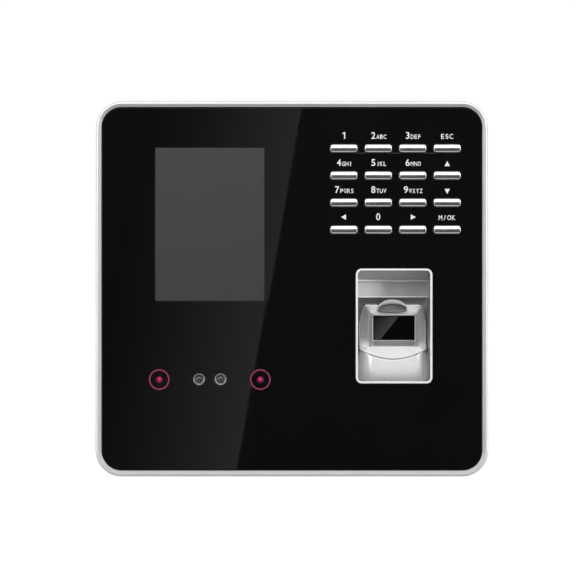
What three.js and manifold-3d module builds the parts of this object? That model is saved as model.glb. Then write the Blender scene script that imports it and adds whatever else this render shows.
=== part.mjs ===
// A wall-mounted terminal that reads faces, fingerprints and key codes, on its sheet-steel wall bracket.
//
// Millimetres. X is to the right of a person facing the terminal and Z is up. The wall is the plane y = 0
// and the terminal stands out from it towards -Y. Every depth below is a distance out from the wall, so a
// face at depth d lies at y = -d. The origin is the centre of the bracket's back face.

import * as THREE from 'three';
import { mergeVertices } from 'three/addons/utils/BufferGeometryUtils.js';
import Module from 'manifold-3d';

const wasm = await Module();
wasm.setup();

// ---------------------------------------------------------------- driving dimensions

const gap = 0.3; // clearance between pieces that move or plug together
const seam = 0.1; // clearance between pieces that are fastened face to face
const wall = 2; // moulded wall thickness
const beyond = 1; // how far a cutting tool runs past the face that it cuts

// Housings. The rim is the silver border round the panel: a chamfer inside and a rounded edge outside.
const body = { width: 152, height: 145, corner: 10.2, flare: 0.3, back: 0.5, split: 24, front: 34 };
const rim = { round: 1.2, roundDepth: 1.5, chamfer: 1.15, chamferDepth: 1 };
const rear = { inset: 0.8, round: 2.5 };
const tongue = { inset: rear.inset + wall + gap, width: 1, length: 2 }; // locates the rear housing
const caseScrew = { x: 67.5, z: 64, headRadius: 2.8, headHeight: 1.9, radius: 1.45, tip: 22 };
const screwWell = { floor: 8, radius: 3.2, outerRadius: 5, bossRadius: 3.2 };
const boardPin = { radius: 0.9, shoulder: 1.7, hole: 1.2, standOut: 0.8 };

// Face: panel, display, cameras and lamps. The last three share one upright axis.
const panel = { width: 146.4, height: 139.7, corner: 7.5, thickness: 2, face: 33.2, edge: 0.3 };
const faceAxisX = -31.7;
const facePartsZ = -35;
const display = { z: 24.9, width: 41.9, height: 59 };
const displayGlass = { width: 46, height: 64, thickness: 2.7 };
const displayShield = { width: 50, height: 69, thickness: 2, floor: 1 };
const camera = { spacing: 8.3, radius: 2.4, baseRadius: 3, glassRadius: 1.3, coneDepth: 0.9 };
const lamp = { spacing: 39, radius: 1.05, baseRadius: 1.6, baseHeight: 1.2 };
const faceBoard = { width: 52, height: 13, thickness: 1.2, front: 28.4 };

// Keypad, with a row of names for each row of keys.
const keypad = { x: 39.9, z: 38.41, pitchX: 13.26, pitchZ: 10.45 };
const key = { width: 10.3, height: 3.1, corner: 0.9, crown: 0.5, proud: 1.2, travel: 1, slotGap: 0.2 };
const keyFlange = { overhang: 0.7, thickness: 0.8, corner: 0.6 };
const keyStem = { width: 4.4, height: 1.8 };
const keyCollar = { width: 7.2, height: 3.8, rise: 1 };
const keyWindow = { ...keypad, width: 53, height: 37, corner: 1.5 };
const keypadMat = { ...keypad, width: 53.6, height: 36.6, corner: 1, thickness: 1 };
const keypadBoard = { x: keypad.x, z: keypad.z - 0.3, width: 54, height: 44.6, corner: 1.5, back: 25.2 };
const keyNames = [
  ['1', '2', '3', 'escape'],
  ['4', '5', '6', 'up'],
  ['7', '8', '9', 'down'],
  ['left', '0', 'right', 'ok'],
];

// Finger bay. The heights of the brow, ramp, prism and sensor head are measured from the bay's centre.
const bay = { x: 39.37, z: -14.37, width: 29.5, height: 44.3, corner: 2.3, rim: 1.1, edge: 0.35 };
const bayDepths = { front: 33.9, floor: 22.2, back: 20.7, flange: 1.5, flangeWidth: 2.2 };
const brow = { bottom: 10.8, edge: 17.3, top: 21.2, bottomDepth: 26.2, edgeDepth: 26.8 };
const ramp = { floorTop: -8.6, floorDepth: 24.9, top: -13.4, topDepth: 28.6, bottomDepth: 31.6 };
const sensorHead = { top: 8.3, topHalf: 11.2, low: -9.4, lowHalf: 12.7, bow: -13.1, corner: 1.2 };
const sensor = { front: 28.1, apron: 29.6, head: 25.4, back: 14, trunkWidth: 22, trunkHeight: 16 };
const prism = { x: bay.x + 0.4, width: 16.6, top: 4, bottom: -5.6, front: 27.3, back: 17 };
const fingerStop = { x: -0.3, base: 5.4, halfWidth: 5.7, rise: 4.5, front: 29, hollow: 27.3, band: 0.8 };
const sensorBoard = { width: 26, height: 22, chip: 6, chipHeight: 1.4 };

// Mainboard and what it carries. Ports that face the wall have their mouths at port.mouth.
const boardThickness = 1.6;
const mainboard = { left: -68, right: 18, bottom: -60, top: 40, back: 21.4 };
const port = { z: -32, mouth: 5 };
const networkJack = { x: 5, width: 16, height: 14 };
const terminalBlock = { x: -16, pitch: 3.8, ways: 5, height: 10, setBack: 2 };
const powerJack = { x: -36, width: 9, height: 11, bore: 3.2, pin: 1, setBack: 1 };
const usb = { x: -48, width: 13.2, height: 5.8, depth: 14, wall: 0.5 };
const relay = { left: -60, right: -44.5, bottom: -12, top: -2, height: 11.4 };
const cell = { x: 8, z: 24, radius: 6.3, height: 3.2 };
const tamper = { x: -40, z: 30, radius: 2, travel: 1, body: 8, bodyBack: 12.3, tail: 15.5 };
const speaker = { x: 41, depth: 14, width: 30, breadth: 16, frameHeight: 4, height: 9, magnet: 6.5 };
const grille = { slots: 9, pitch: 3, width: 1.4, length: 10 };
const ribbonThickness = 0.4;
const cableThickness = 0.8;

// Wall bracket. Its foot carries the lock screw, in a notch in the housing's bottom.
const bracket = { size: 104, corner: 4, thickness: 1.5, lift: 6.7, wallScrewHole: 2.5 };
const wallScrews = [[-42, 42], [42, 42], [-42, -8], [42, -8]];
const cableOpening = { x: -14, z: -31.5, width: 62, height: 29, corner: 3 };
const hook = { spacing: 60, z: 26, width: 10, rise: 6 };
const foot = { width: 14, reach: 12, sideRoom: 1 };
const notch = { width: 18, depth: 14, height: 3.7 };
const lockScrew = { depth: 7.5, radius: 1.45, length: 9.6, headRadius: 2.6, headHeight: 1.7 };
const lockBoss = { width: 11, depth: 13, top: -60.5 };

// How finely curves are divided. Each round corner gets twice curveSegments sides.
const roundSides = 18;
const pinSides = 8;
const wideCorners = { curveSegments: 3 };
const tightCorners = { curveSegments: 1 };
const smoothCurves = { curveSegments: 5 };

// ---------------------------------------------------------------- places that follow from them

const panelBack = panel.face - panel.thickness;
const deckFront = panelBack - 2 * seam;
const deckBack = deckFront - wall;
const mainboardFront = mainboard.back + boardThickness;
const keypadBoardFront = keypadBoard.back + boardThickness;
const faceBoardBack = faceBoard.front - faceBoard.thickness;
const partFront = mainboard.back - seam; // parts on the back of the mainboard start here
const bossBack = screwWell.floor + wall + gap;
const backWallInside = body.back + wall;
const recessFloor = bracket.thickness + 0.5;
const recessInside = recessFloor + wall;
const housingBottom = -body.height / 2;
const notchCeiling = housingBottom + notch.height;
const footTop = notchCeiling - gap;
const footBottom = footTop - bracket.thickness;
const bayHalf = { width: bay.width / 2 - bay.rim, height: bay.height / 2 - bay.rim };

const mainboardPins = [[-64, -56], [14, -56], [-64, 36], [2.5, 36]];
const keypadPins = [[14.2, 18.4], [65.3, 18.4], [14.2, 58.8], [65.3, 58.8]];
const faceBoardPins = [[faceAxisX - 24, facePartsZ], [faceAxisX + 24, facePartsZ]];
const caseScrewPlaces = [[-1, 1], [1, 1], [-1, -1], [1, -1]].map(([sideX, sideZ]) => [
  sideX * caseScrew.x,
  sideZ * caseScrew.z,
]);
const cameraPlaces = [-1, 1].map((side) => [faceAxisX + (side * camera.spacing) / 2, facePartsZ]);
const lampPlaces = [-1, 1].map((side) => [faceAxisX + (side * lamp.spacing) / 2, facePartsZ]);
const hookPlaces = [-1, 1].map((side) => (side * hook.spacing) / 2);
const keyPlaces = keyNames.flatMap((names, row) =>
  names.map((name, column) => ({
    name: `key_${name}`,
    x: keypad.x + (column - 1.5) * keypad.pitchX,
    z: keypad.z + (1.5 - row) * keypad.pitchZ,
  })),
);

// ---------------------------------------------------------------- solids from three.js geometries

/** A closed manifold-3d solid from a three.js geometry. */
function toSolid(geometry) {
  const bare = geometry.clone();
  bare.deleteAttribute('normal');
  bare.deleteAttribute('uv');
  const merged = mergeVertices(bare, 1e-4);
  const vertProperties = new Float32Array(merged.attributes.position.array);
  const triVerts = new Uint32Array(merged.index.array);
  return new wasm.Manifold(new wasm.Mesh({ numProp: 3, vertProperties, triVerts }));
}

/** A three.js geometry from a manifold-3d solid. */
function toGeometry(solid) {
  const mesh = solid.getMesh();
  const geometry = new THREE.BufferGeometry();
  geometry.setAttribute('position', new THREE.BufferAttribute(mesh.vertProperties, 3));
  geometry.setIndex(new THREE.BufferAttribute(mesh.triVerts, 1));
  geometry.computeVertexNormals();
  return geometry;
}

/** One geometry from several that overlap. */
function join(...geometries) {
  return toGeometry(geometries.map(toSolid).reduce((whole, piece) => whole.add(piece)));
}

/** The first geometry with all the others taken out of it. */
function cut(base, ...tools) {
  return toGeometry(tools.map(toSolid).reduce((rest, tool) => rest.subtract(tool), toSolid(base)));
}

/** What two geometries share. */
function common(first, second) {
  return toGeometry(toSolid(first).intersect(toSolid(second)));
}

// ---------------------------------------------------------------- outlines

/** A rectangle with round corners in the XZ plane. A narrower topWidth makes it a slight trapezoid. */
function roundedRectangle({ x = 0, z = 0, width, height, corner, topWidth = width }) {
  const low = width / 2 - corner;
  const high = topWidth / 2 - corner;
  const tall = height / 2 - corner;
  const quarter = Math.PI / 2;
  const shape = new THREE.Shape();
  shape.absarc(x + low, z - tall, corner, -quarter, 0);
  shape.absarc(x + high, z + tall, corner, 0, quarter);
  shape.absarc(x - high, z + tall, corner, quarter, 2 * quarter);
  shape.absarc(x - low, z - tall, corner, 2 * quarter, 3 * quarter);
  return shape;
}

/** A rounded rectangle let out by a margin all round, or drawn in by a negative one. */
function withMargin(rectangle, margin) {
  return roundedRectangle({
    ...rectangle,
    width: rectangle.width + 2 * margin,
    height: rectangle.height + 2 * margin,
    corner: rectangle.corner + margin,
  });
}

/** The housing's outline, drawn in by an inset all round. It is a little wider at the bottom. */
function bodyOutline(inset) {
  return roundedRectangle({
    width: body.width - 2 * inset,
    topWidth: body.width - 2 * (inset + body.flare),
    height: body.height - 2 * inset,
    corner: body.corner - inset,
  });
}

/** A rounded rectangle centred on the display. */
function displayOutline({ width, height }, margin = 0, corner = 0.5) {
  return roundedRectangle({
    x: faceAxisX,
    z: display.z,
    width: width + 2 * margin,
    height: height + 2 * margin,
    corner,
  });
}

/** The recess that takes the bracket, with room below it for the lift. */
function recessOutline(margin) {
  const room = 1;
  const top = bracket.size / 2 + room;
  const bottom = -bracket.size / 2 - bracket.lift - room;
  const recess = {
    z: (top + bottom) / 2,
    width: bracket.size + 2 * room,
    height: top - bottom,
    corner: bracket.corner + room,
  };
  return withMargin(recess, margin);
}

/** The sensor head: straight top, sides that spread downwards, and a bowed lower edge. */
function sensorHeadOutline() {
  const { top, topHalf, low, lowHalf, bow, corner } = sensorHead;
  const at = (x, z) => [bay.x + x, bay.z + z];
  const shape = new THREE.Shape();
  shape.moveTo(...at(-lowHalf, low));
  shape.quadraticCurveTo(...at(0, 2 * bow - low), ...at(lowHalf, low));
  shape.lineTo(...at(topHalf, top - corner));
  shape.quadraticCurveTo(...at(topHalf, top), ...at(topHalf - corner, top));
  shape.lineTo(...at(corner - topHalf, top));
  shape.quadraticCurveTo(...at(-topHalf, top), ...at(-topHalf, top - corner));
  return shape;
}

/** A shape with straight sides through points given as (depth, height above the bay's centre). */
function bayProfile(points) {
  return new THREE.Shape(points.map(([depth, height]) => new THREE.Vector2(depth, bay.z + height)));
}

/** The profile of a strip that follows a smooth line through the given points. */
function stripProfile(points, thickness) {
  const line = new THREE.SplineCurve(points.map(([u, v]) => new THREE.Vector2(u, v)));
  const steps = 4 * (points.length - 1);
  const sides = [[], []];
  for (let step = 0; step <= steps; step += 1) {
    const centre = line.getPoint(step / steps);
    const along = line.getTangent(step / steps);
    const across = new THREE.Vector2(-along.y, along.x).multiplyScalar(thickness / 2);
    sides[0].push(centre.clone().sub(across));
    sides[1].unshift(centre.clone().add(across));
  }
  return new THREE.Shape([...sides[0], ...sides[1]]);
}

// ---------------------------------------------------------------- ways to thicken an outline

const rightward = new THREE.Vector3(1, 0, 0);
const frontward = new THREE.Vector3(0, -1, 0);
const upward = new THREE.Vector3(0, 0, 1);

/** An outline in the XZ plane, thickened from one depth to another. */
function slab(outline, back, front, options = {}) {
  const settings = { depth: front - back, bevelEnabled: false, ...tightCorners, ...options };
  return new THREE.ExtrudeGeometry(outline, settings).rotateX(Math.PI / 2).translate(0, -back, 0);
}

/** Settings that bevel an extrusion's two ends outwards by size over the given depth. */
function bevelled(size, depth, steps, curves) {
  return { bevelEnabled: true, bevelSize: size, bevelThickness: depth, bevelSegments: steps, ...curves };
}

/** A side profile in (depth, height), thickened across X from left to right. */
function crosswise(profile, left, right) {
  const settings = { depth: right - left, bevelEnabled: false, ...tightCorners };
  const turn = new THREE.Matrix4().makeBasis(frontward, upward, rightward.clone().negate());
  return new THREE.ExtrudeGeometry(profile, settings).applyMatrix4(turn).translate(right, 0, 0);
}

/** A plan in (x, depth), thickened along Z from bottom to top. */
function upright(plan, bottom, top) {
  const settings = { depth: top - bottom, bevelEnabled: false, ...wideCorners };
  const turn = new THREE.Matrix4().makeBasis(rightward, frontward, upward.clone().negate());
  return new THREE.ExtrudeGeometry(plan, settings).applyMatrix4(turn).translate(0, 0, top);
}

/** A box between two values on each of X, depth and Z. */
function block([left, right], [back, front], [bottom, top]) {
  const box = new THREE.BoxGeometry(right - left, front - back, top - bottom);
  return box.translate((left + right) / 2, -(back + front) / 2, (bottom + top) / 2);
}

/** Two values a half-width either side of a centre. */
function around(centre, half) {
  return [centre - half, centre + half];
}

/** A round bar that points out from the wall. */
function bar([x, z], radius, back, front, sides = roundSides) {
  const cylinder = new THREE.CylinderGeometry(radius, radius, front - back, sides);
  return cylinder.translate(x, -(back + front) / 2, z);
}

/** A round bar that stands upright. */
function post([x, depth], radius, bottom, top, sides = roundSides) {
  const cylinder = new THREE.CylinderGeometry(radius, radius, top - bottom, sides);
  return cylinder.rotateX(Math.PI / 2).translate(x, -depth, (bottom + top) / 2);
}

/** A solid turned about a line out from the wall, from a profile in (radius, depth) that runs inwards. */
function turned(profile, [x, z]) {
  const points = profile.map(([radius, depth]) => new THREE.Vector2(radius, -depth));
  return new THREE.LatheGeometry(points, roundSides).translate(x, 0, z);
}

/** The holes in a board for the pins that carry it. */
function boardHoles(places) {
  return places.map((place) => bar(place, boardPin.hole, 0, body.front, pinSides));
}

// ---------------------------------------------------------------- front housing

/** A pin for a board: a shoulder that the board rests on, and a thinner end that goes through it. */
function deckPin(place, boardBack, boardFront) {
  const shoulder = bar(place, boardPin.shoulder, boardFront + seam, deckBack + seam, pinSides);
  const end = bar(place, boardPin.radius, boardBack - boardPin.standOut, boardFront + 1, pinSides);
  return join(shoulder, end);
}

/** The rim and deck, open behind, with the tongue that locates the rear housing. */
function frontFrame() {
  const roundedFront = bevelled(rim.round, rim.roundDepth, 3, wideCorners);
  const block = slab(bodyOutline(rim.round), body.split, body.front - rim.roundDepth, roundedFront);
  const behindSplit = slab(bodyOutline(-beyond), body.split - rim.roundDepth - beyond, body.split);
  const tongueBack = body.split - tongue.length;
  const ring = slab(bodyOutline(tongue.inset), tongueBack, body.split + 1, wideCorners);
  const inside = bodyOutline(tongue.inset + tongue.width);
  const hollow = slab(inside, tongueBack - beyond, deckBack, wideCorners);
  const panelSeat = slab(withMargin(panel, seam), deckFront, body.front + beyond, wideCorners);
  const chamferTool = bevelled(rim.chamfer, rim.chamferDepth, 1, wideCorners);
  const chamfer = slab(withMargin(panel, seam), body.front, body.front + beyond, chamferTool);
  return cut(join(cut(block, behindSplit), ring), hollow, panelSeat, chamfer);
}

/** Openings in the deck for the keys, display, finger bay, cameras and lamps. */
function deckWindows() {
  const through = [deckBack - beyond, deckFront + beyond];
  return [
    slab(roundedRectangle(keyWindow), ...through),
    slab(displayOutline(displayGlass, gap), ...through),
    slab(withMargin(bay, gap), ...through),
    ...cameraPlaces.map((place) => bar(place, camera.baseRadius + gap, ...through)),
    ...lampPlaces.map((place) => bar(place, lamp.baseRadius + gap, ...through)),
  ];
}

/** Silver moulding: the rim round the face, the deck behind the panel, and the bosses and pins on it. */
function frontHousing() {
  const bosses = caseScrewPlaces.map((place) => bar(place, screwWell.bossRadius, bossBack, deckBack + seam));
  const threads = caseScrewPlaces.map((place) =>
    bar(place, caseScrew.radius + seam, bossBack - beyond, caseScrew.tip + 1),
  );
  const pins = [
    ...mainboardPins.map((place) => deckPin(place, mainboard.back, mainboardFront)),
    ...keypadPins.map((place) => deckPin(place, keypadBoard.back, keypadBoardFront)),
    ...faceBoardPins.map((place) => deckPin(place, faceBoardBack, faceBoard.front)),
  ];
  return cut(join(frontFrame(), ...bosses, ...pins), ...deckWindows(), ...threads);
}

// ---------------------------------------------------------------- rear housing

/** The dark shell: a shallow box with a rounded back edge. */
function rearShell() {
  const roundedBack = bevelled(rear.round, rear.round, 3, wideCorners);
  const block = slab(bodyOutline(rear.inset + rear.round), body.back + rear.round, body.split, roundedBack);
  const front = body.split - gap;
  const pastFront = slab(bodyOutline(-beyond), front, body.split + rear.round + beyond);
  const hollow = slab(bodyOutline(rear.inset + wall), backWallInside, body.split, wideCorners);
  return cut(block, pastFront, hollow);
}

/** What is added inside the shell behind the bracket recess, the foot's notch and the screw wells. */
function rearThickening() {
  const start = backWallInside - 1;
  const channelHalf = foot.width / 2 + foot.sideRoom + wall;
  return [
    slab(recessOutline(wall), start, recessInside),
    block(around(0, channelHalf), [start, recessInside], [notchCeiling, -bracket.size / 2]),
    block(
      around(0, notch.width / 2 + wall),
      [start, notch.depth + wall],
      [housingBottom + rear.inset, notchCeiling + wall],
    ),
    block(around(0, lockBoss.width / 2), [start, lockBoss.depth], [notchCeiling, lockBoss.top]),
    ...caseScrewPlaces.map((place) => bar(place, screwWell.outerRadius, start, screwWell.floor + wall)),
  ];
}

/** Slots in the back wall for the bracket's hooks, tall enough for the terminal to lift off them. */
function hookSlots() {
  const heights = [hook.z - bracket.lift - 2 * gap, hook.z + bracket.thickness + gap];
  const half = hook.width / 2 + 2 * gap;
  return hookPlaces.map((x) => block(around(x, half), [0, recessInside + beyond], heights));
}

/** Slots in the bottom wall in front of the speaker. */
function grilleSlots() {
  const bottomWall = [housingBottom - beyond, housingBottom + rear.inset + wall + beyond];
  const depths = around(speaker.depth, grille.length / 2);
  return Array.from({ length: grille.slots }, (_, slot) => {
    const x = speaker.x + (slot - (grille.slots - 1) / 2) * grille.pitch;
    return block(around(x, grille.width / 2), depths, bottomWall);
  });
}

/** Dark moulded back of the terminal. */
function rearHousing() {
  const channelHalf = foot.width / 2 + foot.sideRoom;
  const bottomWall = [housingBottom - beyond, housingBottom + rear.inset + wall + beyond];
  const usbOutside = usb.height + 2 * usb.wall;
  const throughWell = screwWell.floor + wall + beyond;
  return cut(
    join(rearShell(), ...rearThickening()),
    slab(recessOutline(0), 0, recessFloor),
    slab(withMargin(cableOpening, -2), 0, recessInside + beyond),
    block(around(0, channelHalf), [0, recessFloor], [housingBottom - beyond, -bracket.size / 2]),
    block(around(0, notch.width / 2), [0, notch.depth], [housingBottom - beyond, notchCeiling]),
    block(
      around(usb.x, usb.width / 2 + usb.wall + gap),
      [partFront - usbOutside - gap, mainboard.back + gap],
      bottomWall,
    ),
    bar([tamper.x, tamper.z], tamper.radius + gap, 0, recessInside + beyond),
    post([0, lockScrew.depth], lockScrew.radius + seam, housingBottom - beyond, lockBoss.top + beyond),
    ...hookSlots(),
    ...grilleSlots(),
    ...caseScrewPlaces.map((place) => bar(place, screwWell.radius, 0, screwWell.floor)),
    ...caseScrewPlaces.map((place) => bar(place, caseScrew.radius + gap, 0, throughWell)),
  );
}

/** Cross slot cut into a screw head whose outer face is at the given depth. */
function crossSlot([x, z], headBack) {
  const [long, short, sunk] = [1.7, 0.4, 1.1];
  const depths = [headBack - beyond, headBack + sunk];
  return join(
    block(around(x, long), depths, around(z, short)),
    block(around(x, short), depths, around(z, long)),
  );
}

/** One of the four screws that hold the housings together. */
function caseScrewSolid(place) {
  const headFront = screwWell.floor - seam;
  const headBack = headFront - caseScrew.headHeight;
  const head = bar(place, caseScrew.headRadius, headBack, headFront);
  const shank = bar(place, caseScrew.radius, headFront - 1, caseScrew.tip);
  return cut(join(head, shank), crossSlot(place, headBack));
}

// ---------------------------------------------------------------- panel and keys

/** Black acrylic face with a slot for each key, and openings for the display, bay, cameras and lamps. */
function frontPanel() {
  const edge = bevelled(panel.edge, panel.edge, 1, wideCorners);
  const sheet = slab(withMargin(panel, -panel.edge), panelBack, panel.face - panel.edge, edge);
  const underside = slab(withMargin(panel, beyond), panelBack - beyond, panelBack);
  const through = [panelBack - beyond, panel.face + beyond];
  const keySlots = keyPlaces.map(({ x, z }) => slab(withMargin({ ...key, x, z }, key.slotGap), ...through));
  return cut(
    sheet,
    underside,
    slab(displayOutline(display, seam), ...through),
    slab(withMargin(bay, key.slotGap), ...through),
    ...keySlots,
    ...cameraPlaces.map((place) => bar(place, camera.radius + key.slotGap, ...through)),
    ...lampPlaces.map((place) => bar(place, lamp.radius + key.slotGap, ...through)),
  );
}

/** Anti-glare pane over the display. */
function displayWindow() {
  return slab(displayOutline(display), panelBack, panel.face);
}

/** One key: crowned cap, retaining flange behind the panel, and the stem that closes the contact. */
function keySolid({ x, z }) {
  const flangeFront = panelBack - 2 * seam;
  const flangeBack = flangeFront - keyFlange.thickness;
  const capFront = panel.face + key.proud;
  const crowned = bevelled(key.crown, key.crown, 2, tightCorners);
  const cap = slab(withMargin({ ...key, x, z }, -key.crown), flangeFront, capFront - key.crown, crowned);
  const flangeOutline = roundedRectangle({
    x,
    z,
    width: key.width + 2 * keyFlange.overhang,
    height: key.height + 2 * keyFlange.overhang,
    corner: keyFlange.corner,
  });
  const stem = block(
    around(x, keyStem.width / 2),
    [keypadBoardFront + key.travel + seam, flangeFront],
    around(z, keyStem.height / 2),
  );
  return join(cap, slab(flangeOutline, flangeBack, flangeFront), stem);
}

/** Silicone mat: a sheet with a raised collar round each key's stem. */
function keypadMatSolid() {
  const back = keypadBoardFront + seam;
  const front = back + keypadMat.thickness;
  const sheet = slab(roundedRectangle(keypadMat), back, front);
  const collars = keyPlaces.map(({ x, z }) =>
    block(around(x, keyCollar.width / 2), [back, front + keyCollar.rise], around(z, keyCollar.height / 2)),
  );
  const stemHoles = keyPlaces.map(({ x, z }) =>
    block(
      around(x, keyStem.width / 2 + gap),
      [back - beyond, front + keyCollar.rise + beyond],
      around(z, keyStem.height / 2 + gap),
    ),
  );
  return cut(join(sheet, ...collars), ...stemHoles);
}

function keypadBoardSolid() {
  const board = slab(roundedRectangle(keypadBoard), keypadBoard.back, keypadBoardFront);
  return cut(board, ...boardHoles(keypadPins));
}

// ---------------------------------------------------------------- display, cameras and lamps

/** Steel tray that holds the display glass. */
function displayShieldSolid() {
  const front = deckBack - seam;
  const back = front - displayShield.thickness;
  const pocket = displayOutline(displayGlass, 2 * seam);
  const tray = slab(displayOutline(displayShield), back, front);
  return cut(tray, slab(pocket, back + displayShield.floor, front + beyond));
}

function displayGlassSolid() {
  const back = deckBack - displayShield.thickness + displayShield.floor;
  return slab(displayOutline(displayGlass), back, back + displayGlass.thickness);
}

/** Narrow board behind the deck that carries both cameras and both lamps. */
function faceBoardSolid() {
  const outline = roundedRectangle({ ...faceBoard, x: faceAxisX, z: facePartsZ, corner: 1 });
  return cut(slab(outline, faceBoardBack, faceBoard.front), ...boardHoles(faceBoardPins));
}

/** Lens barrel: domed front glass at the bottom of a cone, in a turned metal tube on a wider base. */
function cameraSolid(place) {
  const front = panel.face - 0.2;
  const base = faceBoard.front + seam;
  const glass = front - camera.coneDepth;
  const profile = [
    [0, glass + 0.4],
    [camera.glassRadius * 0.7, glass + 0.25],
    [camera.glassRadius, glass],
    [camera.radius - 0.6, front - 0.1],
    [camera.radius - 0.2, front],
    [camera.radius, front - 0.2],
    [camera.radius, deckFront],
    [camera.baseRadius, deckFront - 0.4],
    [camera.baseRadius, base],
    [0, base],
  ];
  return turned(profile, place);
}

/** Small infrared lamp with a domed tip that ends just below the panel's face. */
function lampSolid(place) {
  const tip = panel.face - seam;
  const base = faceBoard.front + seam;
  const domeSteps = 4;
  const dome = Array.from({ length: domeSteps + 1 }, (_, step) => {
    const angle = (step / domeSteps) * (Math.PI / 2);
    return [lamp.radius * Math.sin(angle), tip - lamp.radius * (1 - Math.cos(angle))];
  });
  const foot = [
    [lamp.radius, base + lamp.baseHeight],
    [lamp.baseRadius, base + lamp.baseHeight],
    [lamp.baseRadius, base],
    [0, base],
  ];
  return turned([...dome, ...foot], place);
}

// ---------------------------------------------------------------- finger bay and sensor

/** The wedge above the sensor: a face that overhangs it, and a slope from there out to the rim. */
function bayBrow() {
  const inside = bayDepths.floor - 0.5;
  const lipDepth = panel.face - 0.4;
  return bayProfile([
    [inside, brow.bottom],
    [brow.bottomDepth, brow.bottom],
    [brow.edgeDepth, brow.edge],
    [lipDepth, brow.top + 0.1],
    [lipDepth, brow.top + 0.5],
    [inside, brow.top + 0.5],
  ]);
}

/** The floor behind the sensor head's lower edge, and the ramp that leads out from there to the rim. */
function bayRamp() {
  const inside = bayDepths.floor - 0.5;
  const bottom = -bayHalf.height - 0.4;
  return bayProfile([
    [inside, ramp.floorTop],
    [ramp.floorDepth, ramp.floorTop],
    [ramp.floorDepth, ramp.top],
    [ramp.topDepth, ramp.top],
    [ramp.bottomDepth, bottom],
    [inside, bottom],
  ]);
}

/** Silver cup that guides the finger: bright rim, brow above the sensor and ramp below it. */
function fingerBay() {
  const { front, floor, back, flange, flangeWidth } = bayDepths;
  const edge = bevelled(bay.edge, bay.edge, 1, tightCorners);
  const outer = slab(withMargin(bay, -bay.edge), back + bay.edge, front - bay.edge, edge);
  const flangeFront = deckBack - 2 * seam;
  const collar = slab(withMargin(bay, flangeWidth), flangeFront - flange, flangeFront);
  const cavity = slab(withMargin(bay, -bay.rim), floor, front + beyond);
  const across = around(bay.x, bayHalf.width + 0.2);
  const trunkHole = block(
    around(bay.x, sensor.trunkWidth / 2 + gap),
    [back - beyond, floor + beyond],
    around(bay.z, sensor.trunkHeight / 2 + gap),
  );
  const cup = cut(join(outer, collar), cavity);
  return cut(join(cup, crosswise(bayBrow(), ...across), crosswise(bayRamp(), ...across)), trunkHole);
}

/** Half an ellipse that stands on the finger stop's base line. */
function halfEllipse(base, halfWidth, rise) {
  const shape = new THREE.Shape();
  shape.absellipse(bay.x + fingerStop.x, bay.z + base, halfWidth, rise, 0, Math.PI);
  return shape;
}

/** Raised arch above the glass that stops the fingertip, with a hollow inside it. */
function fingerStopSolid() {
  const { base, halfWidth, rise, front, hollow, band } = fingerStop;
  const arch = slab(halfEllipse(base, halfWidth, rise), sensor.head + 1, front, smoothCurves);
  const inner = halfEllipse(base + gap, halfWidth - band, rise / 2);
  return cut(arch, slab(inner, hollow, front + beyond, smoothCurves));
}

/** The outline of the glass, let out by a margin all round. */
function prismOutline(margin) {
  return roundedRectangle({
    x: prism.x,
    z: bay.z + (prism.top + prism.bottom) / 2,
    width: prism.width + 2 * margin,
    height: prism.top - prism.bottom + 2 * margin,
    corner: 0.4 + margin,
  });
}

/** The head's side view: a front face that leans out a little towards the bottom, then a jutting apron. */
function sensorHeadProfile() {
  return bayProfile([
    [sensor.head, sensorHead.top + 0.2],
    [sensor.front - 1.2, sensorHead.top + 0.2],
    [sensor.front - 0.6, sensorHead.top - 0.9],
    [sensor.front, -8.3],
    [sensor.apron, sensorHead.bow + 0.4],
    [sensor.apron - 0.5, sensorHead.bow],
    [sensor.head, sensorHead.bow],
  ]);
}

/** Moulded sensor body: framed head in the bay, trunk through its floor, pocket for the prism. */
function sensorHousing() {
  const head = common(
    crosswise(sensorHeadProfile(), bay.x - bayHalf.width, bay.x + bayHalf.width),
    slab(sensorHeadOutline(), sensor.head, sensor.apron + beyond, smoothCurves),
  );
  const trunk = block(
    around(bay.x, sensor.trunkWidth / 2),
    [sensor.back, sensor.head + 0.2],
    around(bay.z, sensor.trunkHeight / 2),
  );
  const funnelTool = bevelled(1.9, 1, 1, tightCorners);
  const funnel = slab(prismOutline(0.5), sensor.front + seam, sensor.front + beyond, funnelTool);
  const pocket = slab(prismOutline(gap), sensor.back - beyond, sensor.front + beyond);
  const ledge = bayProfile([
    [prism.front - 0.2, prism.bottom - gap],
    [sensor.front + 0.2, -8],
    [sensor.front + 0.2, prism.bottom + 1],
    [prism.front - 0.2, prism.bottom + 1],
  ]);
  const ledgeCut = crosswise(ledge, ...around(prism.x, prism.width / 2));
  return cut(join(head, trunk, fingerStopSolid()), funnel, pocket, ledgeCut);
}

/** Glass prism: flat window in front, slanted face behind it. */
function sensorPrism() {
  const side = bayProfile([
    [prism.back, prism.top - 0.5],
    [prism.front - 2, prism.bottom],
    [prism.front, prism.bottom],
    [prism.front, prism.top],
    [prism.back, prism.top],
  ]);
  return crosswise(side, ...around(prism.x, prism.width / 2));
}

/** Board behind the prism, with its image chip. */
function sensorBoardSolid() {
  const front = sensor.back - seam;
  const depths = [front - boardThickness, front];
  const board = block(around(bay.x, sensorBoard.width / 2), depths, around(bay.z, sensorBoard.height / 2));
  const half = sensorBoard.chip / 2;
  const chipDepths = [front - 0.5, front + sensorBoard.chipHeight];
  return join(board, block(around(bay.x, half), chipDepths, around(bay.z, half)));
}

// ---------------------------------------------------------------- mainboard and what it carries

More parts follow.
